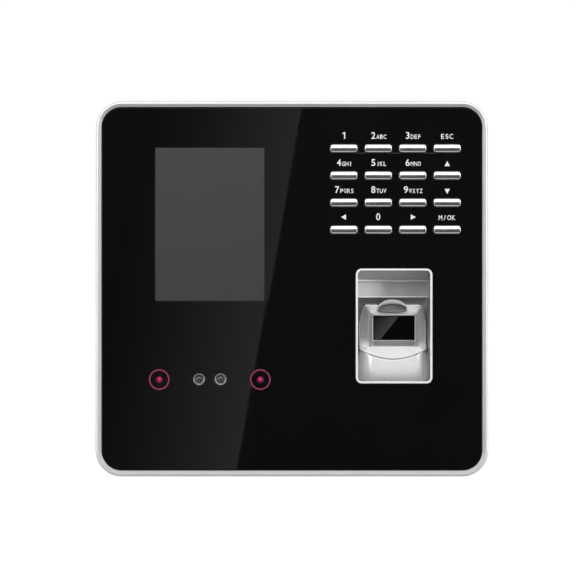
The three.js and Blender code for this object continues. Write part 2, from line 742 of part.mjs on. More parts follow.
/** Mainboard with its largest components: processor and memory behind, ribbon socket in front. */
function mainboardSolid() {
  const board = block(
    [mainboard.left, mainboard.right],
    [mainboard.back, mainboardFront],
    [mainboard.bottom, mainboard.top],
  );
  const processor = block([-38, -22], [mainboard.back - 1.2, mainboardFront - 1], [2, 18]);
  const memory = block([-16, -6], [mainboard.back - 1, mainboardFront - 1], [4, 16]);
  const ribbonSocket = block([-41, -22], [mainboardFront - 0.5, mainboardFront + 1.6], [-19, -15]);
  return cut(join(board, processor, memory, ribbonSocket), ...boardHoles(mainboardPins));
}

/** Network jack with its plug opening and the way for the plug's latch. */
function networkJackSolid() {
  const { x, width, height } = networkJack;
  const shell = block(around(x, width / 2), [port.mouth, partFront], around(port.z, height / 2));
  const plugDepths = [port.mouth - beyond, port.mouth + 12];
  const plugWay = block(around(x, 6), plugDepths, [port.z - 4.5, port.z + 3.5]);
  const latchWay = block(around(x, 1.6), [port.mouth - beyond, port.mouth + 8], [port.z - 6, port.z - 4]);
  return cut(shell, plugWay, latchWay);
}

/** Terminal block: a wire mouth and a clamp screw hole for each way. */
function terminalBlockSolid() {
  const { x, pitch, ways, height, setBack } = terminalBlock;
  const mouth = port.mouth + setBack;
  const halfWidth = (pitch * ways) / 2 + 0.5;
  const shell = block(around(x, halfWidth), [mouth, partFront], around(port.z, height / 2));
  const centres = Array.from({ length: ways }, (_, way) => x + pitch * (way - (ways - 1) / 2));
  const wireMouths = centres.map((centre) =>
    block(around(centre, 1.4), [mouth - beyond, mouth + 6], [port.z - 3.6, port.z - 0.4]),
  );
  const screwHoles = centres.map((centre) => bar([centre, port.z + 2.4], 1.3, mouth - beyond, mouth + 2, 12));
  return cut(shell, ...wireMouths, ...screwHoles);
}

/** Power jack: a bore with its contact pin. */
function powerJackSolid() {
  const { x, width, height, bore, pin, setBack } = powerJack;
  const mouth = port.mouth + setBack;
  const shell = block(around(x, width / 2), [mouth, partFront], around(port.z, height / 2));
  const hollow = bar([x, port.z], bore, mouth - beyond, mouth + 10);
  return join(cut(shell, hollow), bar([x, port.z], pin, mouth + 1, mouth + 11, 12));
}

/** USB port that opens downwards through the housing's bottom wall. */
function usbPortSolid() {
  const bottom = housingBottom + rear.inset + 0.4;
  const top = bottom + usb.depth;
  const back = partFront - usb.height - 2 * usb.wall;
  const shell = block(around(usb.x, usb.width / 2 + usb.wall), [back, partFront], [bottom, top]);
  const hollow = block(
    around(usb.x, usb.width / 2),
    [back + usb.wall, partFront - usb.wall],
    [bottom - beyond, top - 1],
  );
  const middle = (back + partFront) / 2;
  const tonguePlate = block(around(usb.x, 5.6), [middle - 0.2, middle + 1.7], [bottom + 1, top - 0.5]);
  return join(cut(shell, hollow), tonguePlate);
}

function lockRelay() {
  return block([relay.left, relay.right], [partFront - relay.height, partFront], [relay.bottom, relay.top]);
}

function clockCell() {
  return bar([cell.x, cell.z], cell.radius, partFront - cell.height, partFront);
}

/** Switch body with the bore that the plunger runs in. */
function tamperSwitch() {
  const half = tamper.body / 2;
  const shell = block(around(tamper.x, half), [tamper.bodyBack, partFront], around(tamper.z, half));
  const boreEnd = tamper.tail + tamper.travel + gap;
  const bore = bar([tamper.x, tamper.z], tamper.radius + gap, tamper.bodyBack - beyond, boreEnd);
  return cut(shell, bore);
}

/** Plunger that feels for the bracket, with a tapered tip. */
function tamperPlunger() {
  const tip = bracket.thickness + seam;
  const taper = 0.6;
  const profile = [
    [0, tamper.tail],
    [tamper.radius, tamper.tail],
    [tamper.radius, tip + taper],
    [tamper.radius - taper, tip],
    [0, tip],
  ];
  return turned(profile, [tamper.x, tamper.z]);
}

/** Speaker that faces down through the grille: an oval frame with a round magnet on it. */
function speakerSolid() {
  const bottom = housingBottom + rear.inset + wall + seam;
  const plan = roundedRectangle({
    x: speaker.x,
    z: speaker.depth,
    width: speaker.width,
    height: speaker.breadth,
    corner: speaker.breadth / 2 - 0.5,
  });
  const frame = upright(plan, bottom, bottom + speaker.frameHeight);
  const magnetBottom = bottom + speaker.frameHeight - 1;
  const magnet = post([speaker.x, speaker.depth], speaker.magnet, magnetBottom, bottom + speaker.height);
  return join(frame, magnet);
}

// ---------------------------------------------------------------- ribbons and leads

/** Ribbon from the display down to the mainboard's socket. Points are (depth, height). */
function displayRibbon() {
  const path = [[27.6, -9.9], [27.4, -12.5], [25.9, -14.2], [25.1, -15.4]];
  return crosswise(stripProfile(path, ribbonThickness), ...around(faceAxisX, 7));
}

/** Ribbon from the face board up to the mainboard. Points are (depth, height). */
function cameraRibbon() {
  const path = [[27.8, -28.2], [27.2, -26], [25, -24.5], [23.4, -23.2]];
  return crosswise(stripProfile(path, ribbonThickness), ...around(faceAxisX, 5));
}

/** Ribbon from the keypad board across to the mainboard. Points are (x, depth). */
function keypadRibbon() {
  const path = [[12.4, 25], [9.4, 24.9], [8.6, 24.2], [7.6, 23.4]];
  return upright(stripProfile(path, ribbonThickness), 22, 34);
}

/** Flat cable from the sensor board across to the mainboard's back. Points are (x, depth). */
function sensorCable() {
  const path = [[25.9, 13.2], [22, 14], [20.4, 17], [18.4, 20.2], [15.5, 20.9]];
  return upright(stripProfile(path, cableThickness), bay.z - 3, bay.z + 3);
}

/** Round lead from the speaker up to the mainboard's right edge. */
function speakerLead() {
  const route = new THREE.CatmullRomCurve3([
    new THREE.Vector3(25.5, -14, -67),
    new THREE.Vector3(22.5, -14.5, -64),
    new THREE.Vector3(21, -17, -58),
    new THREE.Vector3(20.6, -20, -52),
    new THREE.Vector3(19.6, -22.2, -48),
  ]);
  const section = new THREE.Shape();
  section.absarc(0, 0, cableThickness, 0, 2 * Math.PI);
  return new THREE.ExtrudeGeometry(section, { extrudePath: route, steps: 10, curveSegments: 4 });
}

// ---------------------------------------------------------------- wall bracket

/** One hook: a leg out of the plate, and a tongue that rises behind the housing's back wall. */
function bracketHook(x) {
  const across = around(x, hook.width / 2);
  const tongueBack = recessInside + gap;
  const tongueFront = tongueBack + bracket.thickness;
  const legTop = hook.z + bracket.thickness;
  const leg = block(across, [bracket.thickness / 2, tongueFront], [hook.z, legTop]);
  return join(leg, block(across, [tongueBack, tongueFront], [hook.z, legTop + hook.rise]));
}

/** Sheet-steel plate with four wall-screw holes, the cable opening, two hooks and the locking foot. */
function wallBracket() {
  const square = { width: bracket.size, height: bracket.size, corner: bracket.corner };
  const plate = slab(roundedRectangle(square), 0, bracket.thickness);
  const across = around(0, foot.width / 2);
  const strap = block(across, [0, bracket.thickness], [footBottom, 1 - bracket.size / 2]);
  const tab = block(across, [0, foot.reach], [footBottom, footTop]);
  const through = [-beyond, bracket.thickness + beyond];
  const holes = wallScrews.map((place) => bar(place, bracket.wallScrewHole, ...through));
  return cut(
    join(plate, strap, tab, ...hookPlaces.map(bracketHook)),
    slab(roundedRectangle(cableOpening), ...through),
    post([0, lockScrew.depth], lockScrew.radius + gap, footBottom - beyond, footTop + beyond),
    ...holes,
  );
}

/** Lock screw with a hexagon socket: goes up through the bracket's foot into the housing. */
function lockScrewSolid() {
  const place = [0, lockScrew.depth];
  const headTop = footBottom - seam;
  const headBottom = headTop - lockScrew.headHeight;
  const socket = { radius: 1.15, depth: 1.1, sides: 6 };
  const head = post(place, lockScrew.headRadius, headBottom, headTop);
  const shank = post(place, lockScrew.radius, headTop - 1, headTop + lockScrew.length);
  const hollow = post(place, socket.radius, headBottom - beyond, headBottom + socket.depth, socket.sides);
  return cut(join(head, shank), hollow);
}

// ---------------------------------------------------------------- materials

function finish(color, roughness, metalness = 0) {
  return new THREE.MeshStandardMaterial({ color, roughness, metalness });
}

const silverPaint = finish(0xd9dadc, 0.35, 0.3);
const blackAcrylic = finish(0x0f0f0f, 0.06);
const greyPane = finish(0x49494b, 0.45);
const brightSilver = finish(0xd8d8da, 0.22, 0.8);
const blackGlass = finish(0x0a0a0b, 0.05);
const darkPlastic = finish(0x2b2c2e, 0.6);
const silicone = finish(0x8d9092, 0.7);
const circuitBoard = finish(0x1f5a3a, 0.45);
const sheetSteel = finish(0xb4b6b8, 0.35, 1);
const screwSteel = finish(0x8b8d90, 0.3, 1);
const lensMetal = finish(0x8a8b8e, 0.3, 0.9);
const lampRed = finish(0xdc3c78, 0.2);
const polariser = finish(0x3a3b3e, 0.15);
const offWhite = finish(0xe6e4dc, 0.5);
const blackSheath = finish(0x1a1a1a, 0.6);
const blackNylon = finish(0x1b1b1c, 0.5);
const greenNylon = finish(0x2f8f4e, 0.5);
const relayBlue = finish(0x2a4fa0, 0.4);

// ---------------------------------------------------------------- assembly

const terminal = new THREE.Group();

function add(name, geometry, material) {
  const mesh = new THREE.Mesh(geometry, material);
  mesh.name = name;
  terminal.add(mesh);
}

add('front_housing', frontHousing(), silverPaint);
add('front_panel', frontPanel(), blackAcrylic);
add('display_window', displayWindow(), greyPane);
keyPlaces.forEach((place) => add(place.name, keySolid(place), brightSilver));
add('keypad_mat', keypadMatSolid(), silicone);
add('keypad_board', keypadBoardSolid(), circuitBoard);
add('display_glass', displayGlassSolid(), polariser);
add('display_shield', displayShieldSolid(), sheetSteel);
add('face_board', faceBoardSolid(), circuitBoard);
['left', 'right'].forEach((side, index) => {
  add(`camera_${side}`, cameraSolid(cameraPlaces[index]), lensMetal);
  add(`infrared_lamp_${side}`, lampSolid(lampPlaces[index]), lampRed);
});
add('finger_bay', fingerBay(), brightSilver);
add('sensor_housing', sensorHousing(), brightSilver);
add('sensor_prism', sensorPrism(), blackGlass);
add('sensor_board', sensorBoardSolid(), circuitBoard);
add('mainboard', mainboardSolid(), circuitBoard);
add('network_jack', networkJackSolid(), blackNylon);
add('terminal_block', terminalBlockSolid(), greenNylon);
add('power_jack', powerJackSolid(), blackNylon);
add('usb_port', usbPortSolid(), sheetSteel);
add('lock_relay', lockRelay(), relayBlue);
add('clock_cell', clockCell(), sheetSteel);
add('tamper_switch', tamperSwitch(), blackNylon);
add('tamper_plunger', tamperPlunger(), offWhite);
add('speaker', speakerSolid(), blackNylon);
add('display_ribbon', displayRibbon(), offWhite);
add('camera_ribbon', cameraRibbon(), offWhite);
add('keypad_ribbon', keypadRibbon(), offWhite);
add('sensor_cable', sensorCable(), blackSheath);
add('speaker_lead', speakerLead(), blackSheath);
add('rear_housing', rearHousing(), darkPlastic);
caseScrewPlaces.forEach((place, index) => {
  add(`case_screw_${index + 1}`, caseScrewSolid(place), screwSteel);
});
add('wall_bracket', wallBracket(), sheetSteel);
add('lock_screw', lockScrewSolid(), screwSteel);

export default terminal;
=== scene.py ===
"""Looks of a wall-mounted terminal that reads faces, fingerprints and key codes.

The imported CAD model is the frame. Pieces that show get finer meshes here, built over the CAD node that
they stand for; the others keep their CAD shape with softened edges. Lengths are in millimetres until a
mesh is made. X is to the right, Z is up, and a depth is a distance out from the wall, towards -Y.
"""

import functools
import math
from collections import namedtuple

import bmesh
import bpy
from mathutils import Matrix, Vector
from mathutils.geometry import tessellate_polygon


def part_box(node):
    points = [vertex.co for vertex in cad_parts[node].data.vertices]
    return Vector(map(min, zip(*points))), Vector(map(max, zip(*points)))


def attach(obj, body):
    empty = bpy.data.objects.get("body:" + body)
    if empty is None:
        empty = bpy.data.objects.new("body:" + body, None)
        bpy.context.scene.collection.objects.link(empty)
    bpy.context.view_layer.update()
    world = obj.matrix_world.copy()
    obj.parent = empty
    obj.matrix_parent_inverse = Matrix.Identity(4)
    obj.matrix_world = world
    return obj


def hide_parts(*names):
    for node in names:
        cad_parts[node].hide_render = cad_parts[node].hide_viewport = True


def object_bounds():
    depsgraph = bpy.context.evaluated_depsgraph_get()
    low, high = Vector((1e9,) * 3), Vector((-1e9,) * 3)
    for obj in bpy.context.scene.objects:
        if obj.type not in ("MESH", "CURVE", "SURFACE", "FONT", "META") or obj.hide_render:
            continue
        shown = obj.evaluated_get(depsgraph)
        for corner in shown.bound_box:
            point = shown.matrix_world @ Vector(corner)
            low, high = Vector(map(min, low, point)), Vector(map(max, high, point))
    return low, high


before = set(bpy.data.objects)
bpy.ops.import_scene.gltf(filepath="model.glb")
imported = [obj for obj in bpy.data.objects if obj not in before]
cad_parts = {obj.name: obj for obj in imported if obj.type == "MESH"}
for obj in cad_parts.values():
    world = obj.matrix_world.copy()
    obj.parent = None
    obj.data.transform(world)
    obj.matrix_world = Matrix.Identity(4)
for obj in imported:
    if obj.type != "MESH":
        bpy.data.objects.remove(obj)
cad_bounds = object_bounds()

MM = 0.001

# ---- dimensions that the CAD boxes don't give

BODY_CORNER = 10.2
BODY_FLARE = 0.3
PANEL_CORNER = 7.5
PANEL_SEAM = 0.1
SPLIT_DEPTH = 24.0
TONGUE = (3.1, 4.1, 22.0)  # the locating tongue's two insets and its back
DECK = (29.0, 31.0)  # back and front
DECK_OVERLAP = 3.0  # how far the rim goes in under the panel
RIM_ROUND = (1.2, 1.5)  # width and depth of the rim's rounded outer edge
RIM_CHAMFER = (1.15, 1.0)
RIM_LEDGE = 0.2  # from the panel's seat out to the foot of the chamfer

KEY_CORNER = 0.9
KEY_CREST = 0.53  # the cap's crest, as a share of its height down from its top edge
KEY_ABOVE = (0.6, 1.9)  # how far the cap has fallen away at its top edge, and the power of that curve
KEY_BELOW = (0.5, 2.4)
KEY_INSET = 0.05  # how far the cap stands out past the CAD cap
KEY_RAISE = 0.1  # how much higher the cap's top edge is
KEY_GAP = 0.2
KEY_CAP_BACK = 31.0
KEY_FLANGE = 0.7  # how far the flange stands out round the cap
KEY_FLANGE_BACK = 30.2
KEY_ROWS = ("1 2 3 escape", "4 5 6 up", "7 8 9 down", "left 0 right ok")
KEY_NAMES = " ".join(KEY_ROWS).split()

BAY_CORNER = 2.3
BAY_FLANGE = 2.2
BAY_RIM = 0.8

AXIS_RADIUS = 0.005  # a turned solid ends in a face of this radius

Box = namedtuple("Box", "left right bottom top back front")


def node_box(name):
    """The box of a CAD node in millimetres, with depths out from the wall."""
    low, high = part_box(name)
    return Box(low.x / MM, high.x / MM, low.z / MM, high.z / MM, -high.y / MM, -low.y / MM)


def grown(box, margin):
    """A box let out by a margin on its four sides."""
    return box._replace(
        left=box.left - margin, right=box.right + margin, bottom=box.bottom - margin, top=box.top + margin
    )


def centre(box):
    """The middle of a box as (x, z)."""
    return (box.left + box.right) / 2, (box.bottom + box.top) / 2


# ---- outlines and profiles


def quarter_turn(steps, start=0.0):
    """Angles through a quarter turn."""
    return [start + step / steps * math.pi / 2 for step in range(steps + 1)]


def rounded_loop(box, corner, inset=0.0, arc=8, side_steps=1, flare=0.0):
    """Points anticlockwise round a rounded box, from its lower right corner. A flare narrows its top."""
    radius = max(corner - inset, 0.02)
    corners = []
    for index, (side_x, side_z) in enumerate(((1, -1), (1, 1), (-1, 1), (-1, -1))):
        edge_x = box.right if side_x > 0 else box.left
        edge_z = box.top if side_z > 0 else box.bottom
        lean = flare if side_z > 0 else 0.0
        middle_x = edge_x - side_x * (inset + radius + lean)
        middle_z = edge_z - side_z * (inset + radius)
        turns = quarter_turn(arc, (index - 1) * math.pi / 2)
        corners.append([(middle_x + radius * math.cos(a), middle_z + radius * math.sin(a)) for a in turns])
    return with_side_points(corners, side_steps)


def with_side_points(corners, side_steps):
    """Joins corner arcs into one loop, with extra points along the straight sides between them."""
    points = []
    for index, corner in enumerate(corners):
        points += corner
        (x0, z0), (x1, z1) = corner[-1], corners[(index + 1) % len(corners)][0]
        for step in range(1, side_steps):
            share = step / side_steps
            points.append((x0 + (x1 - x0) * share, z0 + (z1 - z0) * share))
    return points


def circle_loop(place, radius, sides=48):
    """Points anticlockwise round a circle."""
    x, z = place
    turns = [2 * math.pi * side / sides for side in range(sides)]
    return [(x + radius * math.cos(a), z + radius * math.sin(a)) for a in turns]


def outline(box, corner, arc=8):
    """A rounded box as a function of how far it is let out."""
    return lambda margin: rounded_loop(box, corner, -margin, arc)


def round_outline(place, radius, sides=48):
    """A circle as a function of how far it is let out."""
    return lambda margin: circle_loop(place, radius + margin, sides)


def filleted(corners, steps=5):
    """A polyline through corners given as (u, v, radius), with an arc in place of each rounded corner."""
    points = []
    for index, (u, v, radius) in enumerate(corners):
        here = Vector((u, v))
        before = Vector(corners[index - 1][:2])
        after = Vector(corners[(index + 1) % len(corners)][:2])
        to_before, to_after = (before - here).normalized(), (after - here).normalized()
        half = to_before.angle(to_after) / 2
        if radius == 0 or half > math.pi / 2 - 0.01:
            points.append((u, v))
            continue
        reach = radius / math.tan(half)
        middle = here + (to_before + to_after).normalized() * radius / math.sin(half)
        start = here + to_before * reach - middle
        sweep = start.angle_signed(here + to_after * reach - middle)
        for step in range(steps + 1):
            spoke = start.copy()
            spoke.rotate(Matrix.Rotation(-sweep * step / steps, 2))
            points.append(tuple(middle + spoke))
    return points


# ---- meshes


class Shell:
    """The vertices and faces of one mesh. A point is (x, depth, z) in millimetres."""

    def __init__(self):
        self.points = []
        self.faces = []
        self.slots = []
        self.smooth = []

    def ring(self, loop, depth):
        """Adds a loop of (x, z) at a depth, or at the depth that a function of x and z gives."""
        first = len(self.points)
        for x, z in loop:
            self.points.append((x, depth(x, z) if callable(depth) else depth, z))
        return list(range(first, len(self.points)))

    def face(self, corners, slot=0, smooth=True):
        self.faces.append(corners)
        self.slots.append(slot)
        self.smooth.append(smooth)

    def bridge(self, first, second, slot=0):
        """A band of quads between two rings of the same length."""
        count = len(first)
        for index in range(count):
            after = (index + 1) % count
            self.face([first[index], first[after], second[after], second[index]], slot)

    def fill(self, rings):
        """A flat face inside the first ring and outside the others."""
        loops = [[Vector(self.points[index]) for index in ring] for ring in rings]
        order = [index for ring in rings for index in ring]
        for corners in tessellate_polygon(loops):
            self.face([order[corner] for corner in corners], smooth=False)

    def sweep(self, rings, slot=0, closed=False):
        """Bands between rings in turn, and from the last to the first if closed."""
        for first, second in zip(rings, rings[1:]):
            self.bridge(first, second, slot)
        if closed:
            self.bridge(rings[-1], rings[0], slot)

    def plate(self, outer, holes, back, front, edge, steps=3):
        """A flat plate with rounded edges. Each outline is a function of how far it is let out."""
        side = [(edge * (1 - math.sin(a)), edge * (1 - math.cos(a))) for a in quarter_turn(steps)]
        faces = {back: [], front: []}
        for edge_line, sense in [(outer, -1)] + [(hole, 1) for hole in holes]:
            fronts = [self.ring(edge_line(sense * inset), front - drop) for inset, drop in side]
            backs = [self.ring(edge_line(sense * inset), back + drop) for inset, drop in reversed(side)]
            self.sweep(fronts + backs)
            faces[front].append(fronts[0])
            faces[back].append(backs[-1])
        for rings in faces.values():
            self.fill(rings)

    def turned(self, profile, place, sides=48, slots=None):
        """A solid of (radius, depth) points turned about a line out from the wall."""
        slots = slots or [0] * len(profile)
        rings = []
        for radius, depth in profile:
            rings.append(self.ring(circle_loop(place, max(radius, AXIS_RADIUS), sides), depth))
        for first, second, slot in zip(rings, rings[1:], slots):
            self.bridge(first, second, slot)
        self.face(rings[0], slots[0])
        self.face(rings[-1], slots[-1])

    def stations(self, profile_at, places):
        """A closed body between the side profiles that a function gives at each place along X."""
        rings = []
        for x in places:
            first = len(self.points)
            self.points += [(x, depth, z) for depth, z in profile_at(x)]
            rings.append(list(range(first, len(self.points))))
        self.sweep(rings)
        self.face(rings[0])
        self.face(rings[-1])

    def object(self, name, materials, sharp):
        """The finished Blender object, smooth apart from edges sharper than the given angle."""
        mesh = bpy.data.meshes.new(name)
        mesh.from_pydata([(x * MM, -depth * MM, z * MM) for x, depth, z in self.points], [], self.faces)
        for slot_material in materials:
            mesh.materials.append(slot_material)
        mesh.polygons.foreach_set("material_index", self.slots)
        mesh.polygons.foreach_set("use_smooth", self.smooth)
        work = bmesh.new()
        work.from_mesh(mesh)
        bmesh.ops.remove_doubles(work, verts=work.verts, dist=1e-7)
        bmesh.ops.dissolve_degenerate(work, edges=work.edges, dist=1e-6)
        bmesh.ops.recalc_face_normals(work, faces=work.faces)
        work.to_mesh(mesh)
        work.free()
        mesh.set_sharp_from_angle(angle=math.radians(sharp))
        piece = new_object(name, mesh)
        weigh_normals(piece)
        return piece


def new_object(name, data):
    made = bpy.data.objects.new(name, data)
    bpy.context.scene.collection.objects.link(made)
    return made


def weigh_normals(piece):
    """Keeps large flat faces flat in shading."""
    weighted = piece.modifiers.new("weighted_normals", "WEIGHTED_NORMAL")
    weighted.keep_sharp = True
    weighted.weight = 100


def add_piece(name, shell, looks, body="terminal", sharp=35):
    """Makes a piece that rides on a CAD body."""
    piece = shell.object(name, [MATERIALS[look] for look in looks], sharp)
    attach(piece, body)
    return piece


def add_skin(node, shell, looks, sharp=35, body="terminal"):
    """Makes the finer piece that stands for a CAD node."""
    piece = add_piece(f"{node}_skin", shell, looks, body, sharp)
    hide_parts(node)
    return piece


# ---- materials

FLAKE = 0.12  # size of the flakes in metallic paint


class Nodes:
    """A node tree, with short ways to add nodes to it."""

    def __init__(self, tree):
        self.tree = tree

    def node(self, kind, **settings):
        made = self.tree.nodes.new(kind)
        for key, value in settings.items():
            setattr(made, key, value)
        return made

    def link(self, source, target):
        self.tree.links.new(source, target)
        return self

    def feed(self, target, source):
        """Links a socket to an input, or sets the input to a number or a colour."""
        if isinstance(source, bpy.types.NodeSocket):
            return self.link(source, target)
        target.default_value = (*source, 1) if isinstance(source, tuple) else source
        return self

    def maths(self, operation, *operands):
        made = self.node("ShaderNodeMath", operation=operation)
        for socket, operand in zip(made.inputs, operands):
            self.feed(socket, operand)
        return made.outputs[0]

    def split(self, place):
        """The outputs X, Y and Z of a place."""
        made = self.node("ShaderNodeSeparateXYZ")
        self.link(place, made.inputs["Vector"])
        return made.outputs

    def ramp(self, value, stops, easing="LINEAR"):
        """A colour ramp from (position, colour) stops."""
        made = self.node("ShaderNodeValToRGB")
        made.color_ramp.interpolation = easing
        elements = made.color_ramp.elements
        while len(elements) < len(stops):
            elements.new(0.5)
        for element, (position, colour) in zip(elements, stops):
            element.position = position
            element.color = (*colour, 1)
        self.link(value, made.inputs["Fac"])
        return made.outputs["Color"]

    def spread(self, value, low, high, source=(0.3, 0.7)):
        """A value mapped into a range."""
        made = self.node("ShaderNodeMapRange")
        for socket, number in zip(("From Min", "From Max", "To Min", "To Max"), (*source, low, high)):
            made.inputs[socket].default_value = number
        self.link(value, made.inputs["Value"])
        return made.outputs["Result"]


class Look(Nodes):
    """A material with procedural detail. Sizes of patterns are in millimetres."""

    def __init__(self, name, **sockets):
        self.material = bpy.data.materials.new(name)
        self.material.use_nodes = True
        super().__init__(self.material.node_tree)
        self.shader = self.tree.nodes["Principled BSDF"]
        for socket, value in sockets.items():
            self.shader.inputs[socket.replace("_", " ")].default_value = value
        self.place = self.node("ShaderNodeTexCoord").outputs["Object"]

    def where(self, stretch):
        """Object coordinates, stretched."""
        mapping = self.node("ShaderNodeMapping")
        mapping.inputs["Scale"].default_value = stretch
        self.link(self.place, mapping.inputs["Vector"])
        return mapping.outputs["Vector"]

    def noise(self, size, detail, stretch=(1, 1, 1)):
        texture = self.node("ShaderNodeTexNoise")
        texture.inputs["Scale"].default_value = 1 / (size * MM)
        texture.inputs["Detail"].default_value = detail
        self.link(self.where(stretch), texture.inputs["Vector"])
        return texture.outputs["Fac"]

    def cells(self, size):
        """Distance from the middles of scattered cells."""
        texture = self.node("ShaderNodeTexVoronoi")
        texture.inputs["Scale"].default_value = 1 / (size * MM)
        self.link(self.place, texture.inputs["Vector"])
        return texture.outputs["Distance"]

    def bands(self, direction, size):
        """Even stripes across one axis, pi sizes apart."""
        waves = self.node("ShaderNodeTexWave", wave_type="BANDS", bands_direction=direction)
        waves.inputs["Scale"].default_value = 1 / (size * MM) / 10
        self.link(self.place, waves.inputs["Vector"])
        return waves.outputs["Fac"]

    def blend(self, share, first, second, mode="MIX"):
        """Two colours, or sockets that carry colours, mixed by a value."""
        made = self.node("ShaderNodeMix", data_type="RGBA", blend_type=mode)
        for socket, source in ((0, share), (6, first), (7, second)):
            self.feed(made.inputs[socket], source)
        return made.outputs[2]

    def colour(self, source):
        return self.link(source, self.shader.inputs["Base Color"])

    def rough(self, value, low, high):
        return self.link(self.spread(value, low, high), self.shader.inputs["Roughness"])

    def bump(self, value, height):
        made = self.node("ShaderNodeBump")
        made.inputs["Distance"].default_value = height * MM
        made.inputs["Strength"].default_value = 1.0
        self.link(value, made.inputs["Height"])
        chain = self.shader.inputs["Normal"]
        if chain.is_linked:
            self.link(chain.links[0].from_socket, made.inputs["Normal"])
        return self.link(made.outputs["Normal"], chain)

    def tone(self, value, dark, light):
        return self.ramp(value, [(0.3, dark), (0.7, light)])

    def tones(self, size, detail, dark, light, flakes=0.0):
        """A base colour that drifts between two tones, with a share of fine flakes."""
        tone = self.tone(self.noise(size, detail), dark, light)
        if flakes:
            tone = self.blend(flakes, tone, self.noise(FLAKE, 1), "SOFT_LIGHT")
        return self.colour(tone)

    def gloss(self, size, detail, low, high):
        """A roughness that drifts between two values."""
        return self.rough(self.noise(size, detail), low, high)

    def grain(self, size, detail, height):
        """Fine relief."""
        return self.bump(self.noise(size, detail), height)


def tint(colour, share):
    """A colour made lighter or darker."""
    return tuple(min(channel * share, 1.0) for channel in colour)


def grained(name, colour, roughness, size, height, vary=0.05, scatter=0.05, **sockets):
    """A moulded or painted finish: fine grain in bump, with slow changes of tone and gloss."""
    look = Look(name, **sockets)
    look.tones(size * 25, 4, tint(colour, 1 - vary), tint(colour, 1 + vary))
    look.gloss(size * 9, 5, roughness - scatter, roughness + scatter)
    look.grain(size, 2, height)
    return look.material


def silver_paint():
    """Metallic paint with fine flakes under a satin clear coat."""
    look = Look("silver_paint", Metallic=0.2, Coat_Weight=0.2, Coat_Roughness=0.12)
    look.tones(18, 3, (0.82, 0.825, 0.835), (0.86, 0.865, 0.875), flakes=0.12)
    look.gloss(5, 5, 0.34, 0.42)
    look.grain(0.35, 2, 0.0012)
    return look.material


def chamfer_painted_shade():
    """The turned-down inner step of the rim: the rim's silver made duller and darker as painted shade."""
    look = Look("chamfer_painted_shade", Metallic=0.1)
    look.tones(14, 3, (0.54, 0.545, 0.555), (0.58, 0.585, 0.595))
    look.gloss(3, 5, 0.3, 0.42)
    look.grain(0.3, 2, 0.001)
    return look.material


def black_acrylic():
    """Back-painted acrylic: nearly black, glossy, with the faintest haze and dust-fine unevenness."""
    look = Look("black_acrylic", IOR=1.49)
    look.tones(30, 4, (0.0045, 0.0045, 0.0047), (0.0053, 0.0053, 0.0055))
    look.gloss(12, 5, 0.012, 0.035)
    look.grain(9, 1, 0.0004)
    return look.material


def display_pane():
    """Anti-glare pane over a switched-off display, with its rows just visible close up."""
    look = Look("display_pane", IOR=1.45)
    rows = look.spread(look.bands("Z", 0.18), 0.0, 0.06, (0, 1))
    tone = look.tone(look.noise(25, 3), (0.0485, 0.0485, 0.051), (0.0501, 0.0501, 0.0527))
    look.colour(look.blend(rows, tone, (0.03, 0.03, 0.033)))
    look.gloss(0.2, 2, 0.42, 0.5)
    look.grain(0.08, 2, 0.0015)
    return look.material


def key_silver():
    """Vacuum-metallised key cap: bright and smooth, with a trace of finger wear."""
    look = Look("key_silver", Metallic=0.92)
    look.tones(6, 4, (0.84, 0.845, 0.855), (0.90, 0.905, 0.915))
    look.gloss(1.2, 5, 0.16, 0.26)
    look.grain(0.5, 2, 0.0006)
    return look.material


def bay_silver():
    """Satin silver lacquer over the moulded bay and sensor, finely textured."""
    look = Look("bay_silver", Metallic=0.85, Coat_Weight=0.3, Coat_Roughness=0.12)
    look.tones(12, 4, (0.62, 0.62, 0.635), (0.66, 0.66, 0.675), flakes=0.1)
    look.gloss(2.5, 5, 0.42, 0.5)
    look.grain(0.25, 2, 0.0015)
    return look.material


def bright_rim():
    """Thick bright lacquer on the bay's raised rim."""
    look = Look("bright_rim", Coat_Weight=0.6, Coat_Roughness=0.08)
    look.tones(10, 3, (0.95, 0.95, 0.955), (0.98, 0.98, 0.985), flakes=0.1)
    look.gloss(2, 4, 0.22, 0.3)
    look.grain(0.3, 2, 0.001)
    return look.material


def sensor_glass():
    """Coated optical window: black, with a painted reflection: lighter left of a slanted edge, dark past
    it.
    """
    look = Look("sensor_glass", IOR=1.6)
    lean = 0.8  # how far the painted reflection's edge leans to the right as it rises
    edge_x = -1.45  # where that edge would pass the window's middle height, from its middle
    middle_x, middle_z = centre(node_box("sensor_prism"))
    place = look.split(look.place)
    edge = look.maths("MULTIPLY_ADD", place["Z"], lean, (middle_x + edge_x - lean * middle_z) * MM)
    across = look.maths("SUBTRACT", place["X"], edge)
    # Painted reflection: faint far to the left, brightest just left of the slanted edge, near black past
    # it.
    painted_reflection = look.ramp(
        look.spread(across, 0.0, 1.0, (-9 * MM, 1 * MM)),
        [(0.0, (0.012, 0.012, 0.013)), (0.88, (0.062, 0.062, 0.065)), (0.9, (0.003, 0.003, 0.003))],
    )
    look.colour(look.blend(0.25, painted_reflection, look.noise(3, 3), "SOFT_LIGHT"))
    look.gloss(3, 4, 0.03, 0.08)
    return look.material


def dark_plastic():
    """Spark-eroded charcoal plastic of the rear housing."""
    look = Look("dark_plastic")
    look.tones(20, 4, (0.017, 0.018, 0.019), (0.026, 0.027, 0.028))
    look.gloss(1.5, 5, 0.48, 0.66)
    look.grain(0.55, 3, 0.02)
    look.bump(look.cells(0.8), 0.01)
    return look.material


